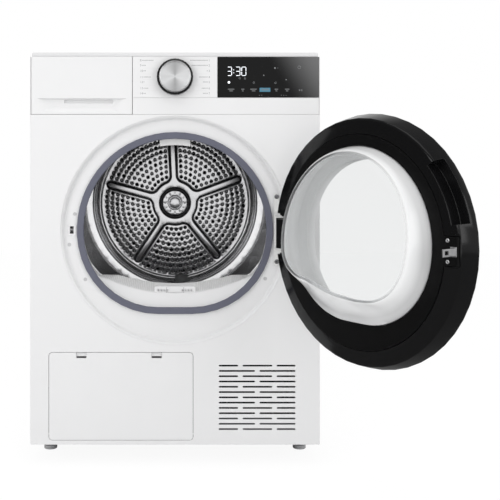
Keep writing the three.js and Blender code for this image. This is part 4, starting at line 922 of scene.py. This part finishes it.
# a sprung keeper crosses the lock's mouth and reaches through the hook's window when the door is shut
lock_low, lock_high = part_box("door_lock")
keeper_x = (lock_low.x + lock_high.x) / 2 - 1 * mm
keeper_y = front_y + 29 * mm
keeper_width = 8.6 * mm
keeper_outline = [(-3, -1.2), (-2.2, -2.2), (2, -2.2), (2, 2.2), (-2.2, 2.2), (-3, 1.2)]
door_z = 478 * mm                # height of the door's centre


def keeper_section(t):
    x = keeper_x + (t - 0.5) * keeper_width
    return [(x, keeper_y + y * mm, door_z + z * mm) for y, z in keeper_outline]


new_piece("lock_keeper", strip(keeper_section, 1), white_moulding, "cabinet")

# -------- door
# A ring of black gloss moulding, a satin inner frame and a pressed glass bowl clamped between them. A hook of
# bent steel is screwed into the frame on the free side.


def gloss_black(name):
    """High gloss moulding, lightly wiped."""
    skin = Finish(name)
    wipe = skin.noise(50, 3.0)
    return skin.surface(base_color=(0.004, 0.004, 0.0043), roughness=0.10 + wipe * 0.05,
                        specular_ior_level=0.36)


dress(gloss_black("piano_black"), 0.8, "door_outer_ring")
dress(satin_black, 0.6, "door_inner_frame")
bright_zinc = galvanised("bright_zinc", (0.80, 0.80, 0.81), 0.22)
dress(bright_zinc, 0.3, "door_hook")

swing = next(joint for joint in frame["joints"] if joint["name"] == "door_swing")
hinge_line = Vector(swing["pos_m"])
opened = Matrix.Rotation(radians(-swing["range_deg"][0]), 3, "Z")
inwards = opened @ Vector((0, 1, 0))


def on_door(across, up, depth):
    """A point on the open door, in mm: across from the cabinet's middle plane, up from the door's centre, and
    its depth behind the front panel's plane when the door is shut."""
    shut = Vector((middle_x - across * mm, front_y + depth * mm, door_z + up * mm))
    return hinge_line + opened @ (shut - hinge_line)


# The bowl is one pressing of clear glass, held by its flange between the ring and the inner frame, with a
# collar into the window. Its end leans, so that the lower lip reaches furthest into the drum and turns the
# laundry back. Its end is clear; its walls are painted an opaque grey white, as painted reflections and
# shade.
bowl_points = 120
bowl_rise = 4                    # bowl's centre above the door's centre
bowl_foot = 4.5                  # depth at which its walls start
glass_thickness = 4
flange_radius, window_radius = 186, 149.3
flange_back, flange_front, collar_front = -6, -14, -37
end_depth, end_lean = 50, 0.12   # the end's depth at the door's centre, and how it grows downwards
end_crown = 2.5
bowl_length = 99                 # from the collar to the lower lip
# from the bowl's centre to the end's rim, in steps of 15 degrees from the free side
rim_reach = [145, 146, 147, 149, 151, 151, 151, 151, 149, 146, 144, 142, 141, 139, 122, 104, 93, 90, 92, 98,
             112, 130, 144, 147]
# shares of the way from the foot to the rim: outwards and in depth, for the side walls and the lower slope
side_wall = [(1, 1), (0.86, 0.985), (0.70, 0.94), (0.54, 0.86), (0.40, 0.74), (0.28, 0.58), (0.17, 0.38),
             (0.08, 0.18)]
lower_slope = [(1, 1), (0.975, 0.99), (0.94, 0.96), (0.88, 0.90), (0.76, 0.77), (0.58, 0.58), (0.38, 0.38),
               (0.18, 0.18)]


def base_reach(angle):
    """From the bowl's centre to its outline at the inner frame: round, with a flat at the bottom."""
    radius, flat_z, flat_half = 165, -146.64, 22
    across, up = cos(angle), sin(angle)
    if up > -0.18:
        return radius
    level = flat_z / up
    if abs(level * across) < flat_half:
        return level
    along = copysign(flat_half, across) * across - bowl_rise * up
    return along + sqrt(along ** 2 - flat_half ** 2 - bowl_rise ** 2 + (bowl_rise + flat_z) ** 2)


def curved(values, share):
    """A smooth closed curve through evenly spaced values."""
    place = share * len(values)
    start = int(place)
    t = place - start
    p, q, r, s = (values[(start + i) % len(values)] for i in (-1, 0, 1, 2))
    return q + t * (r - p + t * (2 * p - 5 * q + 4 * r - s + t * (3 * (q - r) + s - p))) / 2


def bowl_row(reach, depth, rise=bowl_rise):
    """One row of points round the bowl, from functions of the angle."""
    row = []
    for i in range(bowl_points):
        angle = 2 * pi * i / bowl_points
        across, up = reach(angle) * cos(angle), rise + reach(angle) * sin(angle)
        row.append(on_door(across, up, depth(angle, up)))
    return row


def lowness(angle):
    """0 at the bowl's sides and top, 1 along its lower slope."""
    turn = degrees(angle)
    return max(0, min(1, (turn - 203) / 22, (345 - turn) / 40))


def bowl_side(inset):
    """Rows from the middle of the bowl's end to its foot; the skin's inner side has an inset."""
    def rim(angle):
        return curved(rim_reach, angle / (2 * pi)) - inset

    def rim_depth(up):
        return end_depth - end_lean * up - inset

    rows = []
    for share in (0.02, 0.25, 0.5, 0.72, 0.88, 0.96):
        crown = end_crown * (1 - share ** 2)
        rows.append(bowl_row(lambda angle: rim(angle) * share, lambda angle, up: rim_depth(up) + crown))
    for side, low in zip(side_wall, lower_slope):
        def between(angle, part):
            return side[part] + (low[part] - side[part]) * lowness(angle)

        def reach(angle):
            foot = base_reach(angle) - inset
            return foot + (rim(angle) - foot) * between(angle, 0)

        def depth(angle, up):
            full = rim_depth(bowl_rise + rim(angle) * sin(angle))
            return bowl_foot + (full - bowl_foot) * between(angle, 1)

        rows.append(bowl_row(reach, depth))
    return rows


def pressed_glass():
    """Clear at the bowl's end; towards the walls it turns an opaque grey white, with painted light and dark
    bands along their depth that stand for reflections and refraction.
    """
    glass = Finish("pressed_glass")
    along = {"operation": "DOT_PRODUCT"}
    facing, place = (glass.node("VectorMath", along, {0: glass.node("TexCoord", output=output), 1: inwards},
                                "Value") for output in ("Normal", "Object"))
    deep = (place - on_door(0, 0, collar_front).dot(inwards)) * (1 / (bowl_length * mm))
    end = facing.math("ABSOLUTE", facing).between(0.64, 0.95) * deep.between(0.46, 0.60)
    # shades of the walls along their depth: painted reflections and shade
    bands = [(0, 0.80), (0.17, 0.64), (0.32, 0.74), (0.45, 0.82), (0.58, 0.76), (0.72, 0.88), (1, 0.96)]
    stops = [(stop, (shade, shade * 1.005, shade * 1.01)) for stop, shade in bands]
    painted_wall_shades = glass.node("ValToRGB", {"stops": stops}, {"Fac": deep}, "Color")
    wave = glass.bump(glass.noise(45), 0.2)
    wall = glass.node("BsdfPrincipled", None,
                      {"Base Color": painted_wall_shades, "Roughness": 0.10, "IOR": 1.45, "Normal": wave})
    clear = glass.node("BsdfTransparent", None, {"Color": (0.925, 0.93, 0.93)})
    mixed = glass.node("MixShader", None, {0: 1 - end * 0.92, 1: clear, 2: wall})
    glass.node("OutputMaterial", None, {"Surface": mixed})
    return glass.material


def glass_bowl():
    def ring(radius, depth):
        return bowl_row(lambda angle: radius, lambda angle, up: depth, 0)

    def foot(inset, depth):
        return bowl_row(lambda angle: base_reach(angle) - inset, lambda angle, up: depth)

    rows = bowl_side(0)
    rows += [foot(0, bowl_foot), foot(0, flange_back)]
    rows += [ring(flange_radius, flange_back), ring(flange_radius, flange_front)]
    rows += [ring(window_radius, flange_front), ring(window_radius, collar_front)]
    rows += [ring(window_radius - 3, collar_front), ring(window_radius - 3, flange_front - 2)]
    rows += [foot(6, flange_back), foot(glass_thickness, bowl_foot)]
    rows += reversed(bowl_side(glass_thickness))
    bowl = new_piece("glass_bowl", lofted(rows), pressed_glass(), "door", smooth=True)
    bowl.data.set_sharp_from_angle(angle=radians(38))
    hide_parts("door_glass")


glass_bowl()

pan_head = [(1.0, 0.9, 0.12), (1.3, 2.2, 0.12), (2.4, 2.1, 0), (3.2, 1.6, 0), (3.7, 0.8, 0), (3.8, -0.2, 0)]
frame_face = 4.5                 # depth of the inner frame's face
screw_sink = 1.1                 # the heads stay clear of the seal when the door is shut
heads("hook_screws", [on_door(196.7, up, frame_face - screw_sink) for up in (-17, 17)], inwards, pan_head,
      bright_zinc, "door")

# -------- floor and light
# A plain white floor in a white room, with soft boxes in front of the dryer, left and right, and one above.
# The floor is matt, and shows the dryer's shadow but no mirror image.


def room():
    """A white room. In reflections it is bright in front and behind, less so above and on the right."""
    world = bpy.data.worlds.new("room")
    bpy.context.scene.world = world
    world.use_nodes = True
    air = Finish("room_air")
    bpy.data.materials.remove(air.material)
    air.tree = world.node_tree
    air.tree.nodes.clear()
    way = air.node("TexCoord", output="Generated")
    x, y, z = (air.node("SeparateXYZ", None, {"Vector": way}, axis) for axis in "XYZ")
    front = (0 - y).between(0.72, 0.97)
    mirrored = 0.10 + front * 1.05 + z.between(0.3, 0.9) * 0.12 + x.between(0.45, 0.95) * 0.45
    mirrored = mirrored + y.between(0.6, 0.95) * 0.7
    glossy = air.node("LightPath", output="Is Glossy Ray")
    seen = air.node("LightPath", output="Is Camera Ray") + air.node("LightPath", output="Is Transmission Ray")
    plain = 0.68
    lighting = plain + glossy * (mirrored - plain)
    strength = lighting + seen.between(0.4, 0.6) * (1 - lighting)
    back = air.node("Background", None, {"Color": (1, 1, 1), "Strength": strength})
    air.node("OutputWorld", None, {"Surface": back})


def soft_box(name, shift, width, power):
    """A rectangular area lamp, 2 m high, that faces the cabinet's middle from a place shifted from there."""
    lamp = bpy.data.lights.new(name, "AREA")
    lamp.shape = "RECTANGLE"
    lamp.size = width
    lamp.size_y = 2.0
    lamp.energy = power
    box = added(name, lamp)
    box.location = Vector((middle_x, front_y, 0.45)) + Vector(shift)
    box.rotation_euler = (-Vector(shift)).to_track_quat("-Z", "Y").to_euler()


def floor():
    """A white floor; what the camera sees of it is mostly its own white, with the shadow left in."""
    half = 4.0
    mesh = bpy.data.meshes.new("floor")
    mesh.from_pydata([(x, y, 0) for x, y in block(0, 0, 2 * half, 2 * half)], [], [(0, 1, 2, 3)])
    paint = Finish("floor_white")
    lit_floor = paint.node("BsdfDiffuse", None, {"Color": (0.95, 0.95, 0.95)})
    dim = paint.node("BsdfDiffuse", None, {"Color": (0.22, 0.22, 0.22)})
    own = paint.node("Emission", None, {"Color": (1, 1, 1), "Strength": 1.03})
    glossy = paint.node("LightPath", output="Is Glossy Ray")
    seen = paint.node("LightPath", output="Is Camera Ray")
    mirrored = paint.node("MixShader", None, {0: glossy, 1: lit_floor, 2: dim})
    mixed = paint.node("MixShader", None, {0: seen * 0.9, 1: mirrored, 2: own})
    paint.node("OutputMaterial", None, {"Surface": mixed})
    mesh.materials.append(paint.material)
    added("floor", mesh)


room()
soft_box("left_box", (-2.2, -2.4, 1.2), 1.6, 22)
soft_box("right_box", (2.4, -2.6, 1.0), 1.6, 19)
soft_box("top_box", (0, -0.6, 2.4), 2.4, 14)
floor()
bpy.context.scene.view_settings.view_transform = "Standard"
